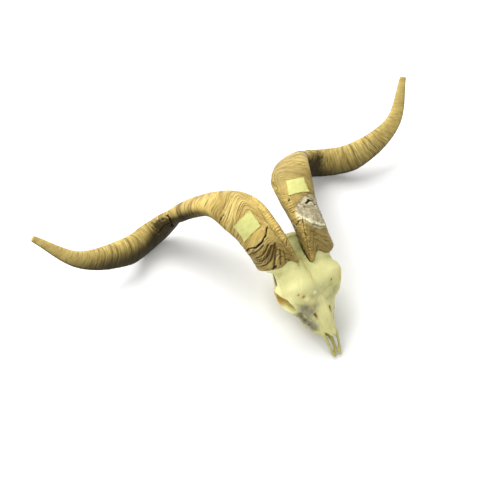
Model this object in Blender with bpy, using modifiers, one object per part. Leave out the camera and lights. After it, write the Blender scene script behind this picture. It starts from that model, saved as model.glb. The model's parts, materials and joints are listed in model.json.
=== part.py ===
"""Skull of an adult billy goat with both twisted horn sheaths and two blank paper labels.

The skull is drawn in its own frame, in millimetres: x to the animal's left, y back from the
tips of the premaxillae, z up from the chewing surface of the cheek teeth. The empty rest_pose
then turns it as it lies on a table, on its front cheek teeth and the undersides of both horns.
"""
import math

import bmesh
import bpy
from mathutils import Matrix, Vector

MM = 0.001
MESH_GAP = 0.3

# How the skull lies: nose down about the x axis, then shifted onto the floor
REST_TILT = math.radians(16.1)
REST_SHIFT = Vector((-1.0, -213.4, -16.7)) * MM

# Horn middle lines from the skull to the tip, drawn on the positive x side for both horns
HORN_LINE = {
    "left": [(43, 198, 85), (41, 247, 107), (48, 298, 99), (78, 356, 62), (124, 394, -7),
             (186, 385, -60.5), (269, 359, -38), (365, 382, 2), (423, 456, 38)],
    "right": [(39, 198, 85), (47, 244, 107), (57, 300, 99), (81, 360, 62), (135, 392, -7),
              (202, 386, -59.5), (270, 369, -38), (360, 383, 2), (421, 445, 38)],
}
HORN_SIDE = {"left": 1, "right": -1}

# Half sizes of the horn's section and its twist in degrees, at even steps along the horn
HORN_WIDE = [42, 43.5, 41.5, 39, 36, 33.5, 30, 17, 7]
HORN_THIN = [26, 26, 24.5, 19.5, 17.5, 19.5, 18, 11.5, 5]
HORN_TWIST = [0, 0, -22, -67, -73, -110, -123, -152, -184]
BASE_WIDE_AXIS = Vector((0.65, 0.40, -0.64)).normalized()
BASE_THIN_AXIS = Vector((0.77, -0.27, 0.575)).normalized()
BASE_BLEND = 0.09
KEEL_SHARPNESS = 0.30
HORN_RINGS = 72
HORN_SIDES = 18
RIDGE_COUNT = 24
RIDGE_HEIGHT = 0.8
PINCH_PLACE = 0.53
PINCH_DEPTH = 0.12
PINCH_LENGTH = 0.020

# The sheath's lower edge and the cup that holds the bony core
SHEATH_WALL = 4.0
EDGE_DROP = {"left": 9.0, "right": -3.0}
EDGE_NOTCH = {"left": 15.0, "right": 9.0}
EDGE_NOTCH_ANGLE = math.radians(140)
EDGE_NOTCH_WIDTH = 0.38
EDGE_LOBE = {"left": 5.0, "right": 2.0}
EDGE_LOBE_ANGLE = math.radians(88)
EDGE_LOBE_WIDTH = 0.50
EDGE_WAVE = 1.2
EDGE_FADE_RINGS = 5
CUP_STEPS = [(30.0, 0.45), (27.0, 0.80), (20.0, 0.97), (8.0, 1.0)]
CORE_STEPS = [(-44.0, 0.25), (-32.0, 0.50), (-20.0, 0.72), (-9.0, 0.90), (0.0, 1.0)]
CORE_LEAN = Vector((0.50, 0.85, 0.20))

# The skull is not quite even: its snout bows and its brow leans to the animal's left
SNOUT_BOW = 3.5
SNOUT_BOW_PLACE = 33.0
SNOUT_BOW_LENGTH = 20.0
BROW_LEAN = 0.075
BROW_LEAN_FLOOR = 50.0
BROW_LEAN_PLACE = 130.0
BROW_LEAN_LENGTH = 28.0

# Bone mesh
BONE_VOXEL = 1.7
BONE_SMOOTHING = 4
BONE_TRIANGLES = 7000

# Cheek teeth: length along the jaw, width, crown height, for three premolars and three molars
CHEEK_TEETH = [(8, 7, 9), (9, 9, 10), (10, 10, 10), (13, 12, 10), (15, 13, 11), (16, 12, 11)]
TOOTH_ROW_FRONT = (13.5, 61.0)
TOOTH_ROW_BACK = (27.0, 130.0)
TOOTH_ROOT = 9.0
TOOTH_SIDES = 12
TOOTH_CUSP = 1.5

# Blank labels: middle as place along the horn and angle round it, turn on the horn, and size
LABELS = {
    "left": {"place": 0.263, "angle": 100, "turn": -9, "length": 45, "width": 29},
    "right": {"place": 0.209, "angle": 90, "turn": -2, "length": 44, "width": 34},
}
LABEL_BEND_RADIUS = 34.0
LABEL_CLEARANCE = 0.5
LABEL_THICKNESS = 0.6
LABEL_CELLS = 6


def mm(x, y, z):
    """A point of the skull's frame, given in millimetres."""
    return Vector((x, y, z)) * MM


def curve_value(keys, place):
    """Smooth value at place (0 to 1) through evenly spaced keys, numbers or vectors."""
    last = len(keys) - 1
    span = min(max(place, 0.0), 1.0) * last
    i = min(int(span), last - 1)
    t = span - i
    a, b = keys[i], keys[i + 1]
    before = keys[i - 1] if i > 0 else a * 2 - b
    after = keys[i + 2] if i + 2 <= last else b * 2 - a
    linear = (b - before) * t
    square = (before * 2 - a * 5 + b * 4 - after) * (t * t)
    cube = (a * 3 - b * 3 + after - before) * (t * t * t)
    return (a * 2 + linear + square + cube) * 0.5


# Collections

for old_object in list(bpy.data.objects):
    bpy.data.objects.remove(old_object, do_unlink=True)


def new_collection(name):
    collection = bpy.data.collections.new(name)
    bpy.context.scene.collection.children.link(collection)
    return collection


skull_collection = new_collection("goat_skull")
bone_pieces = new_collection("bone_pieces")
bone_cuts = new_collection("bone_cuts")
teeth_pieces = new_collection("teeth_pieces")
horn_cuts = new_collection("horn_cuts")


# Building blocks

def add_object(name, mesh, collection):
    obj = bpy.data.objects.new(name, mesh)
    collection.objects.link(obj)
    return obj


def mesh_from_rings(name, rings):
    """Closed loft of triangles through rings of equal length, each end closed by a fan."""
    bm = bmesh.new()
    rows = [[bm.verts.new(point) for point in ring] for ring in rings]
    count = len(rings[0])
    for lower, upper in zip(rows, rows[1:]):
        for i in range(count):
            j = (i + 1) % count
            bm.faces.new((lower[i], lower[j], upper[j]))
            bm.faces.new((lower[i], upper[j], upper[i]))
    for row in (rows[0], rows[-1]):
        middle = bm.verts.new(sum((v.co for v in row), Vector()) / count)
        for i in range(count):
            bm.faces.new((row[i], row[(i + 1) % count], middle))
    bmesh.ops.recalc_face_normals(bm, faces=bm.faces)
    mesh = bpy.data.meshes.new(name)
    bm.to_mesh(mesh)
    bm.free()
    return mesh


def ellipsoid(name, centre, radii, turn=(0, 0, 0), collection=bone_pieces):
    """A ball stretched to three radii and turned by degrees about x, y and z."""
    bpy.ops.mesh.primitive_uv_sphere_add(segments=28, ring_count=16, radius=1.0)
    obj = bpy.context.object
    obj.name = name
    size = Matrix.Diagonal((radii[0] * MM, radii[1] * MM, radii[2] * MM, 1.0))
    spin = Matrix.Identity(4)
    for axis, angle in zip("XYZ", turn):
        spin = Matrix.Rotation(math.radians(angle), 4, axis) @ spin
    obj.data.transform(Matrix.Translation(mm(*centre)) @ spin @ size)
    for used in list(obj.users_collection):
        used.objects.unlink(obj)
    collection.objects.link(obj)
    return obj


def tube(name, stations, collection=bone_pieces, up=(0, 0, 1), sides=18, steps=5, power=2.0):
    """A smooth closed bar through stations (x, y, z, half width, half height)."""
    spine = [mm(*s[:3]) for s in stations]
    widths = [s[3] * MM for s in stations]
    heights = [s[4] * MM for s in stations]
    count = (len(stations) - 1) * steps
    rings = []
    for k in range(count + 1):
        place = k / count
        here = curve_value(spine, place)
        ahead = curve_value(spine, place + 0.01) - curve_value(spine, place - 0.01)
        ahead.normalize()
        across = ahead.cross(Vector(up)).normalized()
        top = across.cross(ahead)
        half_width = max(curve_value(widths, place), 0.4 * MM)
        half_height = max(curve_value(heights, place), 0.4 * MM)
        ring = []
        for n in range(sides):
            angle = 2 * math.pi * n / sides
            c, s = math.cos(angle), math.sin(angle)
            wide = math.copysign(abs(c) ** (2 / power), c) * half_width
            high = math.copysign(abs(s) ** (2 / power), s) * half_height
            ring.append(here + across * wide + top * high)
        rings.append(ring)
    return add_object(name, mesh_from_rings(name, rings), collection)


def tube_pair(name, stations, **options):
    """The same bar on the left and, mirrored, on the right."""
    for label, side in HORN_SIDE.items():
        mirrored = [(side * s[0],) + tuple(s[1:]) for s in stations]
        tube(name + "_" + label, mirrored, **options)


def ball_pair(name, centre, radii, turn=(0, 0, 0), collection=bone_pieces):
    """The same ball on the left and, mirrored, on the right."""
    for label, side in HORN_SIDE.items():
        place = (side * centre[0], centre[1], centre[2])
        side_turn = (turn[0], side * turn[1], side * turn[2])
        ellipsoid(name + "_" + label, place, radii, side_turn, collection)


def evaluated_mesh(obj):
    """The object's mesh with its modifiers applied."""
    graph = bpy.context.evaluated_depsgraph_get()
    return bpy.data.meshes.new_from_object(obj.evaluated_get(graph))


def apply_modifiers(obj):
    mesh = evaluated_mesh(obj)
    obj.modifiers.clear()
    obj.data = mesh


def clear_collection(collection):
    for obj in list(collection.objects):
        bpy.data.objects.remove(obj, do_unlink=True)


def boolean(obj, collection, operation):
    """Joins or cuts obj with every closed mesh of a collection, then removes them."""
    modifier = obj.modifiers.new(operation.lower(), "BOOLEAN")
    modifier.operation = operation
    modifier.operand_type = "COLLECTION"
    modifier.collection = collection
    modifier.solver = "MANIFOLD"
    apply_modifiers(obj)
    clear_collection(collection)


def bend_skull(obj):
    """Gives the bone its slight unevenness."""
    for vertex in obj.data.vertices:
        y, z = vertex.co.y / MM, vertex.co.z / MM
        bow = SNOUT_BOW * math.exp(-((y - SNOUT_BOW_PLACE) / SNOUT_BOW_LENGTH) ** 2)
        lean = BROW_LEAN * math.exp(-((y - BROW_LEAN_PLACE) / BROW_LEAN_LENGTH) ** 2)
        vertex.co.x += (bow + lean * max(0.0, z - BROW_LEAN_FLOOR)) * MM


def keep_largest(obj):
    """Keeps only the largest closed surface of a mesh."""
    bm = bmesh.new()
    bm.from_mesh(obj.data)
    bm.verts.ensure_lookup_table()
    seen = set()
    groups = []
    for start in bm.verts:
        if start in seen:
            continue
        seen.add(start)
        group = [start]
        for vert in group:
            for edge in vert.link_edges:
                other = edge.other_vert(vert)
                if other not in seen:
                    seen.add(other)
                    group.append(other)
        groups.append(group)
    groups.sort(key=len, reverse=True)
    loose = [vert for group in groups[1:] for vert in group]
    bmesh.ops.delete(bm, geom=loose, context="VERTS")
    bm.to_mesh(obj.data)
    bm.free()


# Horn shape, shared by the sheaths, their cuts, the bony cores and the labels

def horn_frames(side_name):
    """Point, direction and section axes at each ring of one horn, on the positive x side."""
    line = [mm(*point) for point in HORN_LINE[side_name]]
    carried = BASE_WIDE_AXIS.copy()
    frames = []
    for k in range(HORN_RINGS + 1):
        place = k / HORN_RINGS
        ahead = curve_value(line, place + 0.004) - curve_value(line, place - 0.004)
        ahead.normalize()
        carried = (carried - ahead * carried.dot(ahead)).normalized()
        other = carried.cross(ahead)
        turn = math.radians(curve_value(HORN_TWIST, place))
        wide_axis = carried * math.cos(turn) - other * math.sin(turn)
        thin_axis = other * math.cos(turn) + carried * math.sin(turn)
        blend = max(0.0, 1.0 - place / BASE_BLEND) ** 2
        wide_axis = wide_axis.lerp(BASE_WIDE_AXIS, blend).normalized()
        thin_axis = thin_axis.lerp(BASE_THIN_AXIS, blend).normalized()
        frames.append((curve_value(line, place), ahead, wide_axis, thin_axis))
    return frames


HORN_FRAMES = {name: horn_frames(name) for name in HORN_SIDE}


def edge_shift(side_name, angle):
    """How far the sheath's lower edge draws back up the horn, in millimetres."""
    notch = EDGE_NOTCH[side_name] * math.exp(-((angle - EDGE_NOTCH_ANGLE) / EDGE_NOTCH_WIDTH) ** 2)
    lobe = EDGE_LOBE[side_name] * math.exp(-((angle - EDGE_LOBE_ANGLE) / EDGE_LOBE_WIDTH) ** 2)
    return notch - lobe - EDGE_DROP[side_name] + EDGE_WAVE * math.sin(5 * angle)


def horn_ring(side_name, place, grow=0.0, shrink=1.0, sides=HORN_SIDES, ridges=True):
    """Section of a horn at place (0 base, 1 tip), grown by millimetres or scaled down."""
    return [horn_point(side_name, place, 2 * math.pi * n / sides, grow, shrink, ridges)
            for n in range(sides)]


def horn_point(side_name, place, angle, grow=0.0, shrink=1.0, ridges=True):
    """A point of a horn's surface; angle 0 is the outer lower side, 180 degrees the keel."""
    frames = HORN_FRAMES[side_name]
    span = min(max(place, 0.0), 1.0) * HORN_RINGS
    k = min(int(span), HORN_RINGS - 1)
    here, ahead, wide_axis, thin_axis = (a.lerp(b, span - k) for a, b in zip(frames[k], frames[k + 1]))
    if place < 0.0:
        here = here + CORE_LEAN * (place * HORN_LENGTH * MM)
    pinch = 1.0 - PINCH_DEPTH * math.exp(-((place - PINCH_PLACE) / PINCH_LENGTH) ** 2)
    swell = 0.0
    if ridges:
        swell = RIDGE_HEIGHT * (0.5 - 0.5 * math.cos(2 * math.pi * RIDGE_COUNT * place)) * (1 - place)
    half_wide = curve_value(HORN_WIDE, place) * pinch * shrink + grow + swell
    half_thin = curve_value(HORN_THIN, place) * pinch * shrink + grow + swell
    across = math.cos(angle)
    along = math.sin(angle) * (1 + KEEL_SHARPNESS * across)
    point = here + wide_axis.normalized() * (half_wide * across * MM)
    point += thin_axis.normalized() * (half_thin * along * MM)
    fade = max(0.0, 1.0 - place * HORN_RINGS / EDGE_FADE_RINGS) if place >= 0 else 1.0
    point += ahead * (edge_shift(side_name, angle) * fade * MM)
    return Vector((HORN_SIDE[side_name] * point.x, point.y, point.z))


HORN_LENGTH = sum((Vector(a) - Vector(b)).length
                  for a, b in zip(HORN_LINE["left"], HORN_LINE["left"][1:]))


def sheath_rings(side_name, gap=0.0):
    """Rings of a horn sheath from inside its cup, round its lower edge and out to its tip."""
    rings = []
    for depth, share in CUP_STEPS:
        place = (depth - gap) / HORN_LENGTH
        rings.append(horn_ring(side_name, place, -SHEATH_WALL - gap, share, ridges=False))
    base = -gap / HORN_LENGTH
    rings.append(horn_ring(side_name, base, -SHEATH_WALL - gap, ridges=False))
    rings.append(horn_ring(side_name, base, gap - 0.8, ridges=False))
    for k in range(1, HORN_RINGS + 1):
        rings.append(horn_ring(side_name, k / HORN_RINGS, gap))
    frames = HORN_FRAMES[side_name]
    tip = horn_ring(side_name, 1.0, gap, 0.6)
    step = frames[-1][1] * (2.5 + gap) * MM
    step.x *= HORN_SIDE[side_name]
    rings.append([point + step for point in tip])
    return rings


def core_rings(side_name):
    """Rings of the bony core, from inside the skull up into the cup of the sheath."""
    rings = []
    for depth, share in CORE_STEPS:
        rings.append(horn_ring(side_name, depth / HORN_LENGTH, 1.0 - SHEATH_WALL, share, ridges=False))
    for depth, share in reversed(CUP_STEPS):
        place = (depth + 1.0) / HORN_LENGTH
        rings.append(horn_ring(side_name, place, 1.0 - SHEATH_WALL, share, ridges=False))
    return rings


# Bone of the skull

def make_roof():
    """Frontals with the upper orbital rims, nasals and the bridge of the nose."""
    tube("frontals", [(0, 104, 73, 25, 11), (0, 116, 78, 40, 12), (0, 130, 83, 54.5, 14),
                      (0, 145, 86, 62.5, 15.5), (0, 158, 87, 59.5, 17.5), (0, 172, 88, 53.5, 18),
                      (0, 188, 86, 46, 18), (0, 204, 81, 33, 17), (0, 220, 74, 22, 15)], sides=32)
    tube("nasals", [(0, 46, 46, 9, 6), (0, 60, 51, 13, 10), (0, 78, 59, 16, 13), (0, 96, 68, 19, 14),
                    (0, 114, 76, 22, 13), (0, 130, 82, 22, 12)], sides=24)
    tube_pair("nasal_tip", [(4.5, 39, 50.0, 1.6, 1.2), (5.0, 45, 51.0, 4.0, 2.0),
                            (5.5, 58, 54.0, 6.0, 4.0)])


def make_face():
    """Maxillae with the facial tubers, the palate and the core between the orbits."""
    tube("face_core", [(0, 58, 41, 13, 10), (0, 72, 46, 19, 18), (0, 86, 51, 26, 23),
                       (0, 98, 56, 33, 24), (0, 108, 62, 40, 23), (0, 118, 66, 40, 18)],
         sides=32, power=2.2)
    tube("orbit_core", [(0, 108, 60, 26, 26), (0, 124, 64, 22, 26), (0, 142, 67, 19, 26),
                        (0, 160, 68, 22, 26), (0, 180, 66, 30, 28)], sides=24, power=2.3)
    tube_pair("maxilla", [(13.5, 49, 34, 3.2, 5), (16, 60, 30, 6, 11), (20.5, 76, 29, 8.5, 16.5),
                          (25, 94, 32, 10.5, 21), (27, 112, 36, 10.5, 24), (26.5, 128, 37, 9, 20),
                          (24, 138, 34, 5, 12)], sides=20, power=2.3)
    ball_pair("facial_tuber", (31, 95, 37), (5.0, 16, 6), (8, 0, -16))
    tube_pair("cheek_ridge", [(29, 82, 37, 4, 6), (35, 98, 42, 5, 8), (43, 110, 46, 5, 8),
                              (51.5, 120, 48, 4, 7)])
    tube_pair("tear_bone", [(20, 96, 60, 8, 9), (28, 104, 64, 9, 11), (36, 111, 68, 9, 11),
                            (44, 119, 74, 6, 7)], up=(-0.5, -0.3, 1))
    tube("palate", [(0, 44, 27, 12, 2.5), (0, 60, 25, 15, 3), (0, 90, 24, 20, 3.5),
                    (0, 118, 25, 22, 3.5), (0, 128, 26, 18, 3)], sides=20)


def make_premaxillae():
    """The two prongs of the snout, their inner bars and the slots between them."""
    tube_pair("premaxilla", [(5.0, 0, 21.5, 2.8, 2.2), (6.8, 8, 23, 3.8, 2.8), (9.0, 20, 26, 3.6, 3.0),
                             (11, 34, 30, 3.7, 3.8), (12.5, 48, 36, 3.9, 6), (13.6, 62, 45, 3.2, 6.5),
                             (14.5, 74, 52, 2.8, 4)])
    tube_pair("inner_bar", [(4.8, 9, 23.5, 3.0, 2.0), (2.8, 16, 24, 2.4, 2.2),
                            (2.2, 30, 26, 2.3, 2.4), (2.4, 46, 27, 3.0, 2.8)])


def make_orbits():
    """Tubular rims round the eyes, the cheekbone below them, the bars behind and the arches."""
    rim = [(54.5, 130, 82), (62, 144, 82.5), (64.5, 156, 76), (63.5, 158, 65), (62, 147, 55.5),
           (59.5, 131, 50.5), (50.5, 116, 51), (43, 108, 60), (43.5, 110, 72), (47.5, 119, 80)]
    stations = [point + (3.2, 3.6) for point in rim + rim[:2]]
    tube_pair("orbit_rim", stations, up=(0.88, -0.45, 0.16), sides=12)
    tube_pair("cheekbone", [(35.5, 104, 50, 5, 9), (45.5, 113, 49, 4.5, 8), (54.5, 126, 48, 4, 7),
                            (58.5, 140, 51, 4, 6.5), (59.5, 150, 54, 3.5, 6)], up=(0.5, -0.3, 1), sides=14)
    tube_pair("orbit_floor", [(40, 108, 54, 12, 4), (44, 120, 50, 12, 3), (48, 132, 50, 10, 2.5),
                              (52, 144, 53, 7, 2.5), (55, 152, 55, 4, 2)], up=(0.45, -0.2, 1), sides=16)
    tube_pair("cheek_arch", [(58.5, 142, 51, 3.6, 6.5), (58.5, 154, 55, 3.6, 6.5), (55, 167, 57, 3.2, 5.5),
                             (49.5, 182, 57, 3.4, 5.0), (43, 196, 57, 5.5, 6), (35, 206, 56, 8, 7)],
              sides=14)
    tube_pair("bar_behind_orbit", [(53, 160, 83, 8, 6), (58.5, 161, 75, 5, 5.5),
                                   (60.5, 160, 65, 4.4, 5), (58.5, 158, 57, 5, 5)], up=(0, 1, 0))


def make_braincase():
    """Braincase, back of the skull, ear region and the base of the skull."""
    ellipsoid("braincase", (0, 202, 66), (36, 42, 34))
    tube("parietals", [(0, 170, 84, 30, 16), (0, 190, 82, 27, 19), (0, 212, 76, 27, 20),
                       (0, 232, 68, 30, 20), (0, 239, 64, 28, 16)], sides=24)
    ellipsoid("occiput", (0, 231, 52), (34, 13, 32), (-8, 0, 0))
    tube("nuchal_crest", [(-37, 221, 56, 3.5, 3), (-32, 229, 70, 3.5, 3), (-18, 235.5, 81.5, 3.5, 3),
                          (0, 238.5, 85, 4, 3.2), (18, 235.5, 81.5, 3.5, 3), (32, 229, 70, 3.5, 3),
                          (37, 221, 56, 3.5, 3)], up=(0, 1, 0.3))
    tube("occipital_ridge", [(0, 239, 84, 3, 4), (0, 245, 68, 3, 4), (0, 243, 54, 2, 3)], up=(0, 1, 0))
    ball_pair("ear_region", (35, 211, 47), (8, 13, 14), (0, 0, 0))
    tube_pair("ear_tube", [(32, 206, 42, 5, 5), (44, 203, 46, 4.5, 4.5)], up=(0, 1, 0))
    tube("skull_base", [(0, 132, 36, 8, 6), (0, 160, 34, 10, 7), (0, 188, 32, 13, 8),
                        (0, 214, 30, 15, 8), (0, 240, 29, 13, 7)], sides=20)
    tube_pair("wing_bone", [(9, 132, 30, 2.2, 10), (10, 146, 30, 2.4, 12), (11, 162, 35, 3, 9),
                            (14, 178, 38, 5, 6)])
    ball_pair("ear_bulla", (21, 203, 24), (7, 12, 10), (-12, 0, 10))
    tube_pair("jugular_process", [(28, 226, 40, 8, 6), (30, 231, 26, 6.5, 4.5), (30, 235, 13, 5, 3.4),
                                  (28, 235, 5, 3, 2.4)], up=(0, 1, 0.2))
    ball_pair("condyle", (13, 238.5, 29), (8.5, 8, 12), (24, 0, 30))


def cut_openings():
    """Nasal opening, slots in the snout, orbits, temple hollows and the hole for the spine."""
    tube("nasal_opening", [(0, 16, 33, 7, 7), (0, 36, 37.5, 9.5, 9.5), (0, 52, 40, 9.5, 9),
                           (0, 72, 42, 8, 8), (0, 84, 42, 4, 5)], collection=bone_cuts, sides=20)
    tube_pair("palate_slot", [(4.8, 15, 26, 1.0, 9), (5.6, 18, 26, 1.8, 9), (6.4, 27, 28, 2.3, 9),
                              (6.6, 35, 29, 2.1, 9), (6.2, 39, 29, 1.0, 9)], collection=bone_cuts)
    tube_pair("orbit_hollow", [(78, 126, 71, 19, 17), (60, 134.5, 68, 18.5, 15.5),
                               (46, 142, 67.5, 17.5, 14.5), (34, 148, 67, 13, 12.5),
                               (24, 152, 68, 5, 5)], collection=bone_cuts, sides=24)
    tube_pair("temple_hollow", [(52, 152, 70, 5, 5), (48, 164, 67, 8, 10), (46, 176, 66, 8, 12),
                                (45, 190, 68, 6, 11), (45, 198, 70, 3, 6)], collection=bone_cuts, sides=18)
    tube("palate_hollow", [(0, 58, 19, 9, 4), (0, 84, 17, 13, 7), (0, 116, 17, 17, 8),
                           (0, 134, 20, 12, 9), (0, 150, 25, 7, 8)], collection=bone_cuts, sides=20)
    tube_pair("palate_side_hollow", [(13, 138, 24, 1.5, 8), (15, 152, 26, 3, 9), (18, 166, 26, 3, 8)],
              collection=bone_cuts)
    ellipsoid("spinal_hole", (0, 250, 40), (9.5, 20, 9), (10, 0, 0), bone_cuts)
    ball_pair("jaw_socket", (40, 192, 48), (7, 6, 3), (0, 0, 0), bone_cuts)


def make_teeth():
    """Six cheek teeth on each side, each a waisted block with two cusps, set along the jaw."""
    total = sum(size[0] for size in CHEEK_TEETH)
    front = Vector((TOOTH_ROW_FRONT[0], TOOTH_ROW_FRONT[1], 0))
    back = Vector((TOOTH_ROW_BACK[0], TOOTH_ROW_BACK[1], 0))
    ahead = (back - front).normalized()
    reach = (back - front).length / total
    across = Vector((ahead.y, -ahead.x, 0))
    for label, side in HORN_SIDE.items():
        travelled = 0.0
        for number, (length, width, height) in enumerate(CHEEK_TEETH):
            length *= reach
            middle = front + ahead * (travelled + length / 2)
            travelled += length
            rings = []
            for level, swell in ((-TOOTH_ROOT, 0.86), (0.35, 0.94), (0.8, 1.0), (1.0, 0.86)):
                z = height * (1 - level) if level > 0 else height - level
                ring = []
                for n in range(TOOTH_SIDES):
                    angle = 2 * math.pi * (n + 0.5) / TOOTH_SIDES
                    c, s = math.cos(angle), math.sin(angle)
                    square = 1.0 / max(abs(c), abs(s)) ** 0.75
                    waist = 1.0 - 0.16 * (1.0 - c * c) ** 4
                    reach_out = ahead * (c * square * length * 0.52 * swell)
                    reach_side = across * (s * square * width * 0.5 * swell * waist)
                    cusp = TOOTH_CUSP * abs(s) if level == 1.0 else 0.0
                    point = middle + reach_out + reach_side
                    ring.append(mm(side * point.x, point.y, z - cusp))
                rings.append(ring)
            name = "tooth_" + label + "_" + str(number + 1)
            add_object(name, mesh_from_rings(name, rings), teeth_pieces)


def make_cranium():
    make_roof()
    make_face()
    make_premaxillae()
    make_orbits()
    make_braincase()
    for name in HORN_SIDE:
        add_object("core_" + name, mesh_from_rings("core_" + name, core_rings(name)), bone_pieces)
    first = bone_pieces.objects["braincase"]
    bone_pieces.objects.unlink(first)
    skull_collection.objects.link(first)
    first.name = "cranium"
    boolean(first, bone_pieces, "UNION")
    cut_openings()
    boolean(first, bone_cuts, "DIFFERENCE")
    keep_largest(first)
    remesh = first.modifiers.new("remesh", "REMESH")
    remesh.mode = "VOXEL"
    remesh.voxel_size = BONE_VOXEL * MM
    smooth = first.modifiers.new("smooth", "SMOOTH")
    smooth.factor = 0.5
    smooth.iterations = BONE_SMOOTHING
    apply_modifiers(first)
    keep_largest(first)
    bend_skull(first)
    triangles = sum(len(face.vertices) - 2 for face in first.data.polygons)
    decimate = first.modifiers.new("decimate", "DECIMATE")
    decimate.ratio = BONE_TRIANGLES / triangles
    apply_modifiers(first)
    make_teeth()
    boolean(first, teeth_pieces, "UNION")
    for name in HORN_SIDE:
        add_object("cut_" + name, mesh_from_rings("cut_" + name, sheath_rings(name, MESH_GAP)), horn_cuts)
    boolean(first, horn_cuts, "DIFFERENCE")
    keep_largest(first)
    return first


def make_horn(side_name):
    name = "horn_" + side_name
    return add_object(name, mesh_from_rings(name, sheath_rings(side_name)), skull_collection)


def make_label(side_name):
    """A thin curved sheet of blank paper just off the horn's surface."""
    size = LABELS[side_name]
    turn = math.radians(size["turn"])
    shares = [i / LABEL_CELLS - 0.5 for i in range(LABEL_CELLS + 1)]
    layers = []
    for grow in (LABEL_CLEARANCE + RIDGE_HEIGHT, LABEL_CLEARANCE + RIDGE_HEIGHT + LABEL_THICKNESS):
        rows = []
        for up in shares:
            row = []
            for across in shares:
                ahead = up * size["length"] * math.cos(turn) - across * size["width"] * math.sin(turn)
                round_it = up * size["length"] * math.sin(turn) + across * size["width"] * math.cos(turn)
                place = size["place"] + ahead / HORN_LENGTH
                angle = math.radians(size["angle"]) + round_it / LABEL_BEND_RADIUS
                row.append(horn_point(side_name, place, angle, grow, ridges=False))
            rows.append(row)
        layers.append(rows)
    bm = bmesh.new()
    grid = [[[bm.verts.new(point) for point in row] for row in layer] for layer in layers]
    last = LABEL_CELLS
    for layer in grid:
        for i in range(last):
            for j in range(last):
                bm.faces.new((layer[i][j], layer[i + 1][j], layer[i + 1][j + 1], layer[i][j + 1]))
    border = [(i, 0) for i in range(last)] + [(last, j) for j in range(last)]
    border += [(last - i, last) for i in range(last)] + [(0, last - j) for j in range(last)]
    for (a, b), (c, d) in zip(border, border[1:] + border[:1]):
        bm.faces.new((grid[0][a][b], grid[0][c][d], grid[1][c][d], grid[1][a][b]))
    bmesh.ops.recalc_face_normals(bm, faces=bm.faces)
    name = "label_" + side_name
    mesh = bpy.data.meshes.new(name)
    bm.to_mesh(mesh)
    bm.free()
    return add_object(name, mesh, skull_collection)


# Colours and the resting pose

def material(name, colour, roughness):
    made = bpy.data.materials.new(name)
    made.use_nodes = True
    shader = made.node_tree.nodes["Principled BSDF"]
    shader.inputs["Base Color"].default_value = (*colour, 1.0)
    shader.inputs["Roughness"].default_value = roughness
    shader.inputs["Metallic"].default_value = 0.0
    return made


def lay_on_floor(obj, rest):
    """Draws every point below the floor up to it, which leaves small flats to rest on."""
    back = rest.inverted()
    for vertex in obj.data.vertices:
        point = rest @ vertex.co
        if point.z < 0.0:
            point.z = 0.0
            vertex.co = back @ point


bone = material("bone", (0.79, 0.74, 0.42), 0.55)
horn = material("horn", (0.42, 0.27, 0.10), 0.50)
paper = material("paper", (0.84, 0.82, 0.38), 0.75)

rest_pose = bpy.data.objects.new("rest_pose", None)
skull_collection.objects.link(rest_pose)
rest_pose.rotation_euler = (REST_TILT, 0.0, 0.0)
rest_pose.location = REST_SHIFT
rest_matrix = Matrix.Translation(REST_SHIFT) @ Matrix.Rotation(REST_TILT, 4, "X")

finished = [(make_cranium(), bone)]
for horn_name in HORN_SIDE:
    finished.append((make_horn(horn_name), horn))
    finished.append((make_label(horn_name), paper))
for piece, look in finished:
    piece.data.materials.clear()
    piece.data.materials.append(look)
    lay_on_floor(piece, rest_matrix)
    piece.data.shade_smooth()
    piece.data.set_sharp_from_angle(angle=math.radians(50))
    piece.parent = rest_pose
for empty_collection in (bone_pieces, bone_cuts, teeth_pieces, horn_cuts):
    bpy.data.collections.remove(empty_collection)
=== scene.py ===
# %% [markdown]
# # A billy goat's skull with its twisted horns
#
# The skull lies on a table as it was found: on its front cheek teeth and on the undersides of
# both horns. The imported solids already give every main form. This lesson puts finer pieces in
# their place: a bone with sutures, holes and hollows, ridged horn sheaths with a keel, a crack
# and a chipped patch, worn cheek teeth, and two blank paper labels.

import itertools
import json
import math

import bpy
import numpy as np
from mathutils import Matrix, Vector
from mathutils.bvhtree import BVHTree

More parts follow.
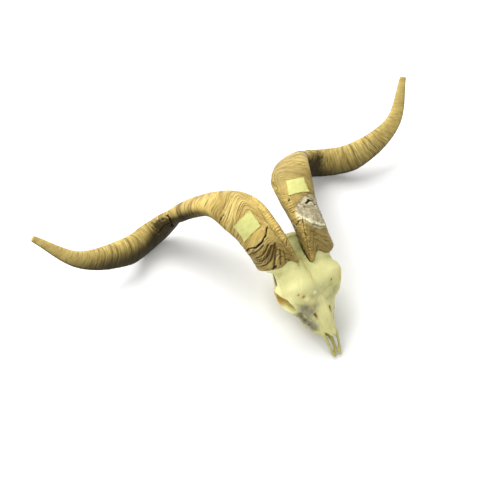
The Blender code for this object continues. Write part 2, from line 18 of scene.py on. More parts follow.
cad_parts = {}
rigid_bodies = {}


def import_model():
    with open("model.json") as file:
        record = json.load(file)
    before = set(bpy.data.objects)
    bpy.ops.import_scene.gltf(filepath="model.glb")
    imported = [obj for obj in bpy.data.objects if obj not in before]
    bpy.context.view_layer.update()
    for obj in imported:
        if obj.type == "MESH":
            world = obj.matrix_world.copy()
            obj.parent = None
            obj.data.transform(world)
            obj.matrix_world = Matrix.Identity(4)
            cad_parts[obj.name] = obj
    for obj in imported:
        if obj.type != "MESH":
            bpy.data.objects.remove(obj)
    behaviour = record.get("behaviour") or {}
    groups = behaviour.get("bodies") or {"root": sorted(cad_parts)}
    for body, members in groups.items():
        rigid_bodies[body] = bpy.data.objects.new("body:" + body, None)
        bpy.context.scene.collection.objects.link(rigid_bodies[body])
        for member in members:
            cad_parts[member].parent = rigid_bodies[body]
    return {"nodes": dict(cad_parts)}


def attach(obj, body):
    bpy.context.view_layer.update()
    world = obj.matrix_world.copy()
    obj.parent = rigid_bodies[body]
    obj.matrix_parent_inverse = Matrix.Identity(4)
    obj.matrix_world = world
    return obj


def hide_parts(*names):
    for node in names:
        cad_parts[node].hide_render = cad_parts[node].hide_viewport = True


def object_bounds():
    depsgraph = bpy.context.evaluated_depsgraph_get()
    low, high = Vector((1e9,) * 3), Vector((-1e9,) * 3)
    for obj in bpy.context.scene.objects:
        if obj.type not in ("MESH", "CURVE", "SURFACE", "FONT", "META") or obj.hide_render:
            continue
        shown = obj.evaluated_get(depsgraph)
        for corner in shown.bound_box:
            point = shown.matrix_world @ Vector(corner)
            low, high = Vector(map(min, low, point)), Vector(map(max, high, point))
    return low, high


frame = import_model()
cad_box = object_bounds()
print("packed nodes:", sorted(frame["nodes"]))

# %% [markdown]
# ## The camera
#
# The camera comes first, because all later work is judged through it. It looks down on the
# skull from in front and a little to its right, from about 1.3 m, through a lens that keeps
# both horn tips in a square picture.

# %% Place the camera
camera_data = bpy.data.cameras.new("camera")
camera_data.lens = 48.03
camera_data.sensor_width = 36.0
camera = bpy.data.objects.new("camera", camera_data)
camera.location = (-0.38032, -0.49528, 1.16960)
camera.rotation_euler = [math.radians(angle) for angle in (30.149, -0.766, -28.378)]
bpy.context.scene.collection.objects.link(camera)
bpy.context.scene.camera = camera
print("camera height:", round(camera.location.z, 3), "m")

# %% [markdown]
# ## Two frames and a smooth curve
#
# It is easiest to draw a skull level and even, in millimetres: x to the animal's left, y back
# from the snout's tips, z up from the chewing surface. Each finished piece is then tilted
# nose down and set on the floor in metres. Sizes along a bone or a horn are given at a few
# places, and one smooth curve runs through them.

# %% The skull's frame, and curves through sizes
MM = 0.001
REST_TILT = math.radians(16.1)
REST_SHIFT = np.array([-1.0, -213.4, -16.7])
TILT = np.array([[1, 0, 0], [0, math.cos(REST_TILT), -math.sin(REST_TILT)],
                 [0, math.sin(REST_TILT), math.cos(REST_TILT)]])
SIDES = {"left": 1, "right": -1}


def smooth_values(keys, places):
    """Values at places (0 to 1) on a smooth curve through evenly spaced keys."""
    keys = np.asarray(keys, float)
    last = len(keys) - 1
    span = np.clip(places, 0.0, 1.0) * last
    i = np.minimum(span.astype(int), last - 1)
    t = span - i
    if keys.ndim == 2:
        t = t[:, None]
    padded = np.concatenate([[keys[0] * 2 - keys[1]], keys, [keys[-1] * 2 - keys[-2]]])
    before, a, b, after = padded[i], padded[i + 1], padded[i + 2], padded[i + 3]
    return 0.5 * (2 * a + (b - before) * t + (2 * before - 5 * a + 4 * b - after) * t ** 2
                  + (3 * a - 3 * b + after - before) * t ** 3)


def unit(vectors):
    return vectors / np.linalg.norm(vectors, axis=-1, keepdims=True)


def direction(keys, places, reach):
    """Unit direction of the curve through keys, judged over reach to both sides."""
    return unit(smooth_values(keys, places + reach) - smooth_values(keys, places - reach))


def bump(values, middle, width):
    """A soft hill of height 1."""
    return np.exp(-((values - middle) / width) ** 2)


def step_up(low, high, values):
    """Smooth rise from 0 at low to 1 at high."""
    t = np.clip((values - low) / (high - low), 0.0, 1.0)
    return t * t * (3 - 2 * t)


# Large steps with no common measure scatter the corners of the noise's grid evenly.
NOISE_STEPS = np.array([127.1, 311.7, 74.7])
NOISE_SEED_STEP = 53.3
NOISE_SPREAD = 43758.5453


def noise(points, size, seed=0):
    """Steady smooth bumps from -1 to 1, about size millimetres wide."""
    scaled = np.asarray(points, float) / size
    low = np.floor(scaled)
    t = scaled - low
    t = t * t * (3 - 2 * t)
    total = 0.0
    for corner in itertools.product((0, 1), repeat=3):
        share = np.prod(np.where(corner, t, 1 - t), axis=1)
        mixed = np.sin((low + corner) @ NOISE_STEPS + seed * NOISE_SEED_STEP) * NOISE_SPREAD
        total = total + share * (mixed - np.floor(mixed))
    return total * 2 - 1


print("curve check:", smooth_values([0, 1, 2, 3], np.array([0.5])))

# %% [markdown]
# ## Mesh helpers
#
# A long rounded form can be made from a cylinder that is bent afterwards, but a grid that is
# rolled up is simpler: every point of the grid knows how far round and how far along it is,
# so one rule gives its place. The seam and the two ends are then merged shut. Operators act on
# all that is selected, so a helper first selects one piece alone.

# %% One piece: its points, values and operators
def select_only(obj):
    bpy.ops.object.select_all(action="DESELECT")
    obj.select_set(True)
    bpy.context.view_layer.objects.active = obj


def read_vectors(rows, field):
    flat = np.empty(len(rows) * 3, np.float32)
    rows.foreach_get(field, flat)
    return flat.reshape(-1, 3).astype(float)


def points_of(obj):
    return read_vectors(obj.data.vertices, "co")


def normals_of(obj):
    return read_vectors(obj.data.vertex_normals, "vector")


def set_points(obj, points):
    obj.data.vertices.foreach_set("co", np.asarray(points, np.float32).ravel())
    obj.data.update()


def keep_values(obj, **fields):
    """Stores one number or one vector per point under each name, for the materials to read."""
    for name, values in fields.items():
        kind, field = ("FLOAT_VECTOR", "vector") if values.ndim == 2 else ("FLOAT", "value")
        layer = obj.data.attributes.new(name, kind, "POINT")
        layer.data.foreach_set(field, values.astype(np.float32).ravel())


def edit_all(obj, *steps):
    """Runs mesh operators, each given with its options, on the whole piece in Edit Mode."""
    select_only(obj)
    bpy.ops.object.mode_set(mode="EDIT")
    bpy.ops.mesh.select_all(action="SELECT")
    for operator, options in steps:
        operator(**options)
    bpy.ops.object.mode_set(mode="OBJECT")


# %% Rolled grids
MERGE_WITHIN = 0.005
FACE_OUTWARDS = (bpy.ops.mesh.normals_make_consistent, {"inside": False})


def merge_shut(obj):
    """Merges doubled points and turns all faces outwards."""
    edit_all(obj, (bpy.ops.mesh.remove_doubles, {"threshold": MERGE_WITHIN}), FACE_OUTWARDS)


def flat_grid(name, columns, rows):
    """A grid primitive and its points, from -1 to 1 both ways."""
    bpy.ops.object.select_all(action="DESELECT")
    bpy.ops.mesh.primitive_grid_add(x_subdivisions=columns, y_subdivisions=rows, size=2.0)
    obj = bpy.context.object
    obj.name = name
    return obj, points_of(obj)


def rolled_grid(name, columns, rows, surface):
    """A grid primitive whose points go to surface(angle round, row number)."""
    obj, flat = flat_grid(name, columns, rows)
    angle = (flat[:, 0] + 1) * math.pi
    row = np.rint((flat[:, 1] + 1) / 2 * rows).astype(int)
    set_points(obj, surface(angle, row))
    return obj


print("points closer than", MERGE_WITHIN, "mm are merged")

# %% [markdown]
# ## The horns' form
#
# A horn is a long cone with a sharp keel. It rises back over the head, dives, and sweeps out
# while it twists by half a turn. Its middle line, the two half widths of its section and its
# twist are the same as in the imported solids. Only the steps are finer, so that no flats show.

# %% Middle lines, sections and twist
HORN_LINE = {
    "left": [(43, 198, 85), (41, 247, 107), (48, 298, 99), (78, 356, 62), (124, 394, -7),
             (186, 385, -60.5), (269, 359, -38), (365, 382, 2), (423, 456, 38)],
    "right": [(39, 198, 85), (47, 244, 107), (57, 300, 99), (81, 360, 62), (135, 392, -7),
              (202, 386, -59.5), (270, 369, -38), (360, 383, 2), (421, 445, 38)],
}
HORN_WIDE = [42, 43.5, 41.5, 39, 36, 33.5, 30, 17, 7]
HORN_THIN = [26, 26, 24.5, 19.5, 17.5, 19.5, 18, 11.5, 5]
HORN_TWIST = [0, 0, -22, -67, -73, -110, -123, -152, -184]
BASE_WIDE_AXIS = unit(np.array([0.65, 0.40, -0.64]))
BASE_THIN_AXIS = unit(np.array([0.77, -0.27, 0.575]))
BASE_BLEND = 0.09
KEEL_SHARPNESS = 0.30
HORN_LENGTH = np.linalg.norm(np.diff(np.array(HORN_LINE["left"], float), axis=0), axis=1).sum()
FRAME_STEPS, FRAME_REACH = 720, 0.004


def horn_frames(side_name):
    """Point, direction and section axes along one horn, drawn on the positive x side."""
    places = np.linspace(0, 1, FRAME_STEPS + 1)
    line = smooth_values(HORN_LINE[side_name], places)
    ahead = direction(HORN_LINE[side_name], places, FRAME_REACH)
    carried = np.empty_like(line)
    last = BASE_WIDE_AXIS
    for k in range(len(places)):
        last = unit(last - ahead[k] * (last @ ahead[k]))
        carried[k] = last
    other = np.cross(carried, ahead)
    turn = np.radians(smooth_values(HORN_TWIST, places))[:, None]
    wide = carried * np.cos(turn) - other * np.sin(turn)
    thin = other * np.cos(turn) + carried * np.sin(turn)
    blend = (np.maximum(0.0, 1.0 - places / BASE_BLEND) ** 2)[:, None]
    wide = unit(wide * (1 - blend) + BASE_WIDE_AXIS * blend)
    thin = unit(thin * (1 - blend) + BASE_THIN_AXIS * blend)
    return np.hstack([line, ahead, wide, thin])


HORN_FRAMES = {name: horn_frames(name) for name in SIDES}
print("horn length:", round(HORN_LENGTH), "mm")

# %% [markdown]
# ## The sheath's lower edge
#
# Keratin grows from the skin round the horn's root, so the dry sheath ends in an uneven edge:
# a deep notch towards the brow, a lobe beside it, and small waves. The edge draws back along
# the horn, and the effect fades out over the first rings.

# %% A point on a horn
PINCH_PLACE, PINCH_DEPTH, PINCH_LENGTH = 0.53, 0.12, 0.020
EDGE_DROP = {"left": 9.0, "right": -3.0}
EDGE_NOTCH = {"left": 15.0, "right": 9.0}
EDGE_LOBE = {"left": 5.0, "right": 2.0}
NOTCH_AT, NOTCH_WIDTH = math.radians(140), 0.38
LOBE_AT, LOBE_WIDTH = math.radians(88), 0.50
EDGE_WAVE, EDGE_WAVES = 1.2, 5
EDGE_FADE, SHRINK_FADE = 5 / 72, 0.25
CORE_LEAN = np.array([0.50, 0.85, 0.20])


def edge_shift(side_name, angle):
    """How far the sheath's lower edge draws back up the horn, in millimetres."""
    notch = EDGE_NOTCH[side_name] * bump(angle, NOTCH_AT, NOTCH_WIDTH)
    lobe = EDGE_LOBE[side_name] * bump(angle, LOBE_AT, LOBE_WIDTH)
    return notch - lobe - EDGE_DROP[side_name] + EDGE_WAVE * np.sin(EDGE_WAVES * angle)


def horn_surface(side_name, place, angle, grow=0.0, shrink=1.0):
    """Points of a horn; angle 0 is the outer lower side and half a turn is the keel."""
    frames = HORN_FRAMES[side_name]
    span = np.clip(place, 0.0, 1.0) * FRAME_STEPS
    k = np.minimum(span.astype(int), FRAME_STEPS - 1)
    t = (span - k)[:, None]
    here, ahead, wide, thin = np.split(frames[k] * (1 - t) + frames[k + 1] * t, 4, axis=1)
    here = here + CORE_LEAN * np.minimum(place, 0.0)[:, None] * HORN_LENGTH
    pinch = (1.0 - PINCH_DEPTH * bump(place, PINCH_PLACE, PINCH_LENGTH)) * shrink
    half_wide = smooth_values(HORN_WIDE, place) * pinch + grow
    half_thin = smooth_values(HORN_THIN, place) * pinch + grow
    across = np.cos(angle)
    along = np.sin(angle) * (1 + KEEL_SHARPNESS * across)
    points = (here + unit(wide) * (half_wide * across)[:, None]
              + unit(thin) * (half_thin * along)[:, None])
    fade = np.where(place >= 0, np.maximum(0.0, 1.0 - place / EDGE_FADE), 1.0)
    fade = fade * np.minimum(1.0, np.asarray(shrink) / SHRINK_FADE)
    points += ahead * (edge_shift(side_name, angle) * fade)[:, None]
    points[:, 0] *= SIDES[side_name]
    return points


print("horn base:", horn_surface("left", np.array([0.0]), np.array([0.0])).round(1))

# %% [markdown]
# ## Growth lines, keel and damage
#
# Growth lines run round the horn. On the broad face they rise a little towards the keel, then
# turn and run down beside it to the base, where they fan out. Ridges and grooves follow them
# at uneven steps, and the keel is beaded. The right horn has one long crack above its base and
# the left horn a patch beside the keel that has flaked off down to paler layers. All of this
# is real relief in the mesh, so it also shows along the outline. Marks are drawn as paths on
# the horn's skin: how far along, from 0 to 1, and how far round, in degrees. In the rules below
# a term such as 0.3 + 0.7 * patchy says how much of an effect is left where a mask is 0, and
# how much comes back where it is 1.

# %% Marks on the horns
MARKS = {
    "right": [
        ("crack", [(0.163, 133), (0.151, 125), (0.143, 118), (0.135, 105)], 1.7, 3.8),
        ("crack", [(0.135, 105), (0.132, 90), (0.130, 80), (0.136, 70)], 2.4, 4.6),
        ("crack", [(0.136, 70), (0.142, 60), (0.141, 48), (0.139, 34)], 1.9, 4.0),
        ("crack", [(0.307, 12), (0.303, 38), (0.300, 55)], 0.9, 1.6),
        ("crack", [(0.008, 92), (0.013, 98), (0.022, 102)], 2.6, 3.4),
        ("furrow", [(0.108, 129), (0.088, 114), (0.058, 95), (0.045, 83), (0.040, 66)], 2.1, 3.8),
        ("furrow", [(0.109, 118), (0.092, 105), (0.075, 87), (0.070, 68)], 1.9, 3.4),
        ("furrow", [(0.116, 112), (0.102, 96), (0.093, 85), (0.090, 62)], 1.8, 3.0),
        ("furrow", [(0.096, 126), (0.070, 112), (0.035, 101), (0.012, 98)], 2.1, 3.8),
        ("furrow", [(0.122, 100), (0.116, 84), (0.115, 60)], 1.5, 2.4),
        ("furrow", [(0.104, 108), (0.083, 92), (0.080, 64)], 1.2, 2.0),
        ("furrow", [(0.085, 133), (0.050, 122), (0.018, 116)], 1.6, 2.4),
        ("furrow", [(0.078, 142), (0.040, 136), (0.012, 133)], 1.2, 1.8),
        ("furrow", [(0.060, 84), (0.056, 64), (0.058, 44)], 1.0, 1.2),
        ("furrow", [(0.230, 142), (0.180, 141), (0.138, 144), (0.096, 153), (0.036, 160)],
         1.6, 1.1),
        ("crack", [(0.525, 405), (0.527, 380), (0.525, 358), (0.532, 330), (0.548, 300)], 2.1, 3.8),
        ("crack", [(0.532, 335), (0.556, 334), (0.587, 312), (0.600, 306)], 1.1, 2.0),
    ],
    "left": [
        ("crack", [(0.188, 102), (0.200, 88), (0.197, 79), (0.180, 73)], 2.5, 4.2),
        ("crack", [(0.133, 168), (0.128, 180), (0.124, 195)], 1.0, 2.8),
        ("crack", [(0.168, 161), (0.162, 176)], 0.8, 2.2),
        ("crack", [(0.213, 144), (0.207, 157)], 0.8, 2.2),
        ("furrow", [(0.136, 147), (0.110, 161), (0.083, 172), (0.050, 182), (0.017, 194)],
         1.5, 1.8),
        ("furrow", [(0.132, 146), (0.119, 136), (0.109, 123), (0.096, 109), (0.083, 94),
                    (0.076, 79)], 1.2, 1.6),
        ("furrow", [(0.094, 138), (0.077, 122), (0.057, 108), (0.041, 90)], 1.3, 1.5),
        ("furrow", [(0.082, 135), (0.062, 118), (0.038, 100), (0.025, 84)], 1.3, 1.3),
        ("furrow", [(0.066, 140), (0.044, 122), (0.020, 108)], 1.2, 1.2),
        ("crack", [(0.585, 400), (0.575, 380), (0.562, 347), (0.552, 319), (0.550, 285)], 2.6, 4.2),
        ("furrow", [(0.375, 93), (0.371, 69), (0.361, 45), (0.351, 27)], 1.3, 1.2),
    ],
}
CHIP_OUTLINE = [(0.222, 40), (0.241, 58), (0.226, 89), (0.207, 112), (0.191, 134), (0.176, 150),
                (0.160, 161), (0.143, 157), (0.136, 146), (0.124, 136), (0.112, 122), (0.100, 107),
                (0.089, 92), (0.082, 78), (0.100, 62), (0.104, 48), (0.134, 54), (0.146, 38),
                (0.176, 45), (0.186, 30), (0.222, 40)]
CHIP_FRINGE = [(0.152, 160), (0.139, 148), (0.125, 136), (0.115, 123), (0.102, 109), (0.089, 94),
               (0.082, 79)]
print("marks:", {name: len(rows) for name, rows in MARKS.items()})

# %% Distances on a horn's skin
GIRTH_SHARE = 0.85


def on_skin(place, angle, girth):
    """Places on a horn's skin laid flat, in millimetres along and round."""
    return np.stack([place * HORN_LENGTH, angle * girth], axis=-1)


def distance_to_path(place, angle, path):
    """Flat distance on the skin to a path of (place, degrees)."""
    girth = smooth_values(HORN_WIDE, place) * GIRTH_SHARE
    corners = [on_skin(np.full(len(place), p), math.radians(a), girth) for p, a in path]
    best = np.full(len(place), np.inf)
    for lap in (-2 * math.pi, 0.0, 2 * math.pi):
        flat = on_skin(place, angle + lap, girth)
        for start, end in zip(corners, corners[1:]):
            run = end - start
            share = np.clip(((flat - start) * run).sum(1) / (run * run).sum(1), 0, 1)[:, None]
            best = np.minimum(best, np.linalg.norm(flat - start - run * share, axis=1))
    return best


def inside_outline(place, angle, outline):
    """Whether each place lies in a closed outline of (place, degrees)."""
    inside = np.zeros(len(place), bool)
    turn = np.degrees(angle)
    for (p0, a0), (p1, a1) in zip(outline, outline[1:]):
        crosses = (a0 > turn) != (a1 > turn)
        with np.errstate(divide="ignore", invalid="ignore"):
            edge = p0 + (turn - a0) / (a1 - a0) * (p1 - p0)
        inside ^= crosses & (place < edge)
    return inside


print("girth at the base:", round(2 * math.pi * HORN_WIDE[0] * GIRTH_SHARE), "mm")

# %% Growth lines
SECTION_RADIUS = 30
KEEL_ANGLE, KEEL_SHIFT = math.radians(179), math.radians(21)
RING_WIDTH, RING_CUT = 0.11, 1.3
LINE_WIDTH, LINE_CUT = 0.30, 0.9
FINE_HEIGHT, FOLD_HEIGHT = 0.25, 1.1
GROWTH_NOISE = {
    "rings": (12, 0.08, 3), "lines": (4.0, 0.11, 5), "straight": (2.7, 0.05, 18),
    "fine": (2.2, 0.16, 7), "folds": (7.5, 0.13, 15),
}
QUIET_SPOTS = {"left": [(0.9, 0.255, 0.06, 128, 26), (0.8, 0.06, 0.05, 105, 32)], "right": []}


def from_keel(place, angle):
    """Angle round the horn, counted from its keel."""
    keel = KEEL_ANGLE - KEEL_SHIFT * bump(place, 0.21, 0.13)
    return (angle - keel + math.pi) % (2 * math.pi) - math.pi


def along_growth(place, angle):
    """Millimetres along the horn, counted from one growth line to the next."""
    away = np.degrees(np.abs(from_keel(place, angle)))
    rise = 3 + 22 * (1 - step_up(0.35, 0.60, place)) + 35 * (1 - step_up(0.05, 0.18, place))
    drop = 3 + 65 * (1 - step_up(0.30, 0.60, place))
    on_face = rise * (1 - step_up(42, 110, away))
    by_keel = drop * (1 - step_up(0, 48, away))
    return place * HORN_LENGTH - on_face + by_keel


def narrow(values, width):
    """1 where values pass through zero and 0 elsewhere, for thin grooves at uneven steps."""
    return np.exp(-(values / width) ** 2)


def growth_relief(side_name, place, degrees, on_axis, around):
    """Height of rings, lines and folds, painted groove shade, the calm areas and a patchy mask."""
    def layer(name):
        size, pull, seed = GROWTH_NOISE[name]
        return noise(around * (1, pull, pull), size, seed)

    patchy = step_up(-0.5, 0.5, noise(on_axis, 17, 8))
    rings = narrow(layer("rings"), RING_WIDTH) * (0.3 + 0.7 * patchy)
    lines = narrow(layer("lines"), LINE_WIDTH) * (1 - 0.6 * patchy)
    straight = narrow(layer("straight"), LINE_WIDTH) * step_up(0.42, 0.56, place)
    lines = np.maximum(lines, straight)
    folds = layer("folds") * (1 - step_up(0.09, 0.20, place))
    quiet = 0.75 * step_up(0.0, 0.7, noise(on_axis, 26, 13)) * (1 - step_up(0.40, 0.55, place))
    for strength, middle, length, turn, width in QUIET_SPOTS[side_name]:
        spot = bump(place, middle, length) * bump(degrees, turn, width)
        quiet = np.maximum(quiet, strength * spot)
    groove_shade = np.clip(0.95 * rings + 0.75 * lines, 0, 1) * (1 - 0.40 * bump(place, 0.32, 0.17))
    groove_shade = groove_shade * (1 - 0.6 * quiet) * (1 - 0.45 * step_up(0.45, 0.60, place))
    groove_shade = np.maximum(groove_shade, 0.55 * step_up(0.10, 0.60, -folds))
    bold = 0.42 + 0.58 * (1 - step_up(0.06, 0.50, place))
    height = 0.20 - RING_CUT * rings - LINE_CUT * lines + FINE_HEIGHT * layer("fine")
    height = height * bold * (1 - 0.5 * quiet)
    return height + FOLD_HEIGHT * folds, groove_shade, quiet, patchy


print("growth at a quarter:", along_growth(np.array([0.25]), np.array([math.pi])).round(1), "mm")

# %% Beads, cracks, furrows and the flaked patch
BEAD_STEP = 5.6
RUGGED = {"left": 2.0, "right": 1.4}
LIP_HEIGHT = 0.6


def bead_relief(side_name, place, on_axis):
    """Uneven beads along the keel, and the painted shade in the gaps between them."""
    count = place * HORN_LENGTH / BEAD_STEP + 1.1 * noise(on_axis, 11, 2)
    beads = np.abs(np.sin(math.pi * count))
    gap = narrow(beads, 0.42) * (0.4 + 0.6 * step_up(-0.4, 0.3, noise(on_axis, 9, 16)))
    return RUGGED[side_name] * (beads - 0.75 + 0.9 * noise(on_axis, 5.0, 4)) - 1.1 * gap, gap


def mark_relief(side_name, place, angle, on_axis, wander):
    """Height of all cracks and furrows, their masks for painted shade, and torn edges."""
    height, cut, furrow, torn_and_lit = (np.zeros(len(place)) for _ in range(4))
    jag = noise(on_axis, 5.5, 17)
    for kind, path, half_width, depth in MARKS[side_name]:
        crack = kind == "crack"
        bend = 2.0 * jag * (crack and half_width > 1.5)
        away = distance_to_path(place + bend / HORN_LENGTH, angle, path)
        shape = bump(away + (0.9 if crack else 0.5) * wander, 0, half_width)
        height += LIP_HEIGHT * bump(away, half_width + 1.8, 1.3) - depth * shape
        if crack:
            cut = np.maximum(cut, shape)
        else:
            strength = min(0.95, 0.42 + 0.16 * depth)
            furrow = np.maximum(furrow, strength * bump(away + 0.5 * wander, 0, 1.25 * half_width))
        if half_width > 2.2:
            torn_and_lit = np.maximum(torn_and_lit, bump(away + wander, half_width + 1.9, 1.2) * (place < 0.4))
    return height, cut, furrow, torn_and_lit


def flaked_patch(place, angle, on_axis, wander):
    """Mask of the patch, painted shade at its layer edges, their height, and its pale fringe."""
    inward = np.where(inside_outline(place, angle, CHIP_OUTLINE), 1, -1)
    inward = inward * distance_to_path(place, angle, CHIP_OUTLINE) + 1.8 * wander
    steps = noise(on_axis, 12, 21) * 2.2 + 0.45 * noise(on_axis, 4, 23)
    edges = narrow(np.abs(steps - np.round(steps)) - 0.5, 0.12)
    layers = 0.50 * np.round(steps) + 0.45 * noise(on_axis, 3.2, 22) - 1.3
    away = distance_to_path(place, angle, CHIP_FRINGE) + 1.6 * wander
    fringe = bump(away, 2.2, 4.0) * (0.6 + 0.4 * step_up(-0.3, 0.4, noise(on_axis, 2.6, 24)))
    return step_up(-0.3, 1.6, inward), edges, layers, fringe


print("marks are", sum(len(rows) for rows in MARKS.values()), "and a patch")

# %% The whole relief of a sheath
# Painted shadow where each horn is pinched.
PINCH_SHADE = {"left": (300, 58, 0.600, 0.055, 0.80), "right": (330, 46, 0.560, 0.038, 0.60)}
FRINGE_HEIGHT = 1.2


def pinch_shade_mask(side_name, place, degrees, wander):
    """Painted shadow where a horn is pinched: its angle, width, place, length and soft edge."""
    turn, width, middle, length, edge = PINCH_SHADE[side_name]
    pinch_shade = bump((degrees - turn + 180) % 360 - 180, 0, width) * bump(place, middle, length)
    return step_up(0.12, edge, pinch_shade + 0.25 * wander * (pinch_shade > 0.1))


def sheath_relief(side_name, place, angle):
    """Height over the smooth horn in millimetres, and the values that its material reads."""
    section = [np.cos(angle) * SECTION_RADIUS, np.sin(angle) * SECTION_RADIUS]
    on_axis = np.stack([place * HORN_LENGTH, *section], axis=1)
    waves = 1.8 * noise(on_axis, 20, 9) + 0.7 * noise(on_axis, 7, 10)
    growth = along_growth(place, angle) + waves * (1 - 0.6 * step_up(0.45, 0.60, place))
    around = np.stack([growth, *section], axis=1)
    wander = noise(on_axis, 6, 11) + 0.6 * noise(on_axis, 2.4, 12)
    degrees = np.degrees(angle)
    keel = bump(from_keel(place, angle), 0, 0.34) * (1 - step_up(0.40, 0.66, place))
    height, groove_shade, quiet, patchy = growth_relief(side_name, place, degrees, on_axis, around)
    beads, gap = bead_relief(side_name, place, on_axis)
    marked, cut, furrow, torn_and_lit = mark_relief(side_name, place, angle, on_axis, wander)
    height += keel * beads + 0.75 * noise(on_axis, 24, 6) + marked
    # Painted shade in the grooves, the gaps between the keel's beads and the furrows.
    groove_shade = np.maximum(np.maximum(groove_shade * (1 - 0.6 * keel), keel * gap), furrow)
    if side_name == "right":
        chip, fringe, plate_and_shade = (np.zeros(len(place)) for _ in range(3))
        # Painted light: a pale pool on the right horn's base, mixed in with the torn edges.
        painted_light_pool = bump(place, 0.055, 0.045) * bump(degrees, 48, 26) * (0.4 + 0.6 * patchy)
        torn_and_lit = np.maximum(torn_and_lit, painted_light_pool)
    else:
        chip, edges, layers, fringe = flaked_patch(place, angle, on_axis, wander)
        height = height * (1 - 0.75 * chip) - 0.75 * cut * chip + chip * layers
        height += FRINGE_HEIGHT * fringe
        # Painted shade along the edges of the flaked layers.
        groove_shade = groove_shade * (1 - chip) + 0.75 * edges * chip
        base = 1 - step_up(0.10, 0.13, place + 0.0007 * (112 - degrees))
        plate_and_shade = 0.7 * (1 - chip) * base * bump(degrees, 100, 52)
        # Painted shade over the left horn's middle, added to the dark plate at its base.
        plate_and_shade = np.maximum(plate_and_shade, 0.95 * bump(place, 0.29, 0.13))
    calm = 1 - step_up(0.80, 0.97, place)
    values = {"grain": around, "groove_shade": groove_shade * calm, "cut": cut, "torn_and_lit": torn_and_lit, "chip": chip,
              "fringe": fringe, "plate_and_shade": plate_and_shade, "quiet": np.maximum(quiet, chip), "keel": keel,
              "place": place, "pinch_shade": pinch_shade_mask(side_name, place, degrees, wander)}
    return height * calm, values


test_place, test_angle = np.array([0.1, 0.5]), np.array([math.pi, 0.0])
print("relief:", sheath_relief("left", test_place, test_angle)[0].round(2))

# %% Lay a piece down
def lay_down(obj):
    """Tilts a level piece into its resting pose in metres, inside the box of the solids."""
    points = (points_of(obj) @ TILT.T + REST_SHIFT) * MM
    low, high = (np.array(corner) for corner in cad_box)
    set_points(obj, np.clip(points, low, high))


def smooth_look(obj, sharp=None):
    """Shades a piece smooth, except across edges sharper than an angle in degrees."""
    select_only(obj)
    if sharp is None:
        bpy.ops.object.shade_smooth()
    else:
        bpy.ops.object.shade_smooth_by_angle(angle=math.radians(sharp))


print("nose down by", round(math.degrees(REST_TILT), 1), "degrees")

# %% Build both sheaths
HORN_COLUMNS = 144
HORN_ROWS = 640
SHEATH_WALL = 4.0
CUP_ROWS = [(30.0, 0.0), (30.0, 0.45), (27.0, 0.80), (20.0, 0.97), (8.0, 1.0), (0.0, 1.0)]
LIP_ROWS = [(0.0, -2.6), (0.0, -1.1), (0.8, -0.4), (2.0, 0.0)]
LIP_DEPTH = 2.6
TIP_ROWS = 6
TIP_REACH = 2.4
# Painted shade: points that face away from BRIGHT_SIDE, about the way to the key light, are painted
# dark, and UNDER_SHIFT moves the edge of that shade along each horn's outer half.
BRIGHT_SIDE = unit(np.array([0.0, 0.5, 0.86]))
UNDER_SHIFT = {"left": (0.34, 0.60, 0.68, 0.86, 0.96), "right": (-0.28, 0.34, 0.44, 0.62, 0.74)}


def sheath_rows():
    """Place, growth over the smooth horn, shrink and tip step of each row of points."""
    rows = [(depth / HORN_LENGTH, -SHEATH_WALL, share, 0.0) for depth, share in CUP_ROWS]
    rows += [(depth / HORN_LENGTH, grow, 1.0, 0.0) for depth, grow in LIP_ROWS]
    body = HORN_ROWS + 1 - len(rows) - TIP_ROWS
    first = LIP_ROWS[-1][0] / HORN_LENGTH
    rows += [(first + (1 - first) * (k + 1) / body, 0.0, 1.0, 0.0) for k in range(body)]
    for k in range(TIP_ROWS):
        turn = math.pi / 2 * (k + 1) / TIP_ROWS
        rows.append((1.0, 0.0, math.cos(turn), TIP_REACH * math.sin(turn)))
    return np.array(rows)


SHEATH_ROWS = sheath_rows()


def under_side(obj, side_name):
    """Painted shade: 1 away from the light and 0 on top, shifted a little along the outer half."""
    facing = normals_of(obj) @ BRIGHT_SIDE
    place = np.empty(len(facing), np.float32)
    obj.data.attributes["place"].data.foreach_get("value", place)
    shift, begins, full, fades, ends = UNDER_SHIFT[side_name]
    facing += shift * step_up(begins, full, place) * (1 - step_up(fades, ends, place))
    return 1 - step_up(-0.40, 0.52, facing)


def make_sheath(side_name):
    values_here = {}

    def surface(angle, row):
        place, grow, shrink, reach = SHEATH_ROWS[row].T
        height, values = sheath_relief(side_name, place, angle)
        outside = (row >= len(CUP_ROWS)) * np.clip(1 + grow / LIP_DEPTH, 0, 1)
        # The inside of the cup and the lower lip get painted shade.
        values_here.update(values, cup=1.0 - outside)
        grow = np.where(shrink < 0.01, 0.0, grow)
        points = horn_surface(side_name, place, angle, (grow + height * outside) * shrink, shrink)
        ahead = HORN_FRAMES[side_name][-1][3:6] * np.array([SIDES[side_name], 1, 1])
        return points + reach[:, None] * ahead

    obj = rolled_grid("sheath_" + side_name, HORN_COLUMNS, HORN_ROWS, surface)
    keep_values(obj, **values_here)
    merge_shut(obj)
    lay_down(obj)
    # Keeps the painted shade of the side turned away from the light.
    keep_values(obj, under=under_side(obj, side_name))
    smooth_look(obj)
    print(obj.name, len(obj.data.polygons), "faces")
    return obj


sheaths = {side_name: make_sheath(side_name) for side_name in SIDES}

# %% [markdown]
# ## Two blank paper labels
#
# Each label is a small piece of paper stuck to the broad face of a horn. A single sheet laid on
# the horn would look painted on, so it is a grid given by its four corners on the horn's skin,
# a little proud of the ridges, with slightly lifted corners and an uneven cut. A Solidify
# modifier gives it its thickness.

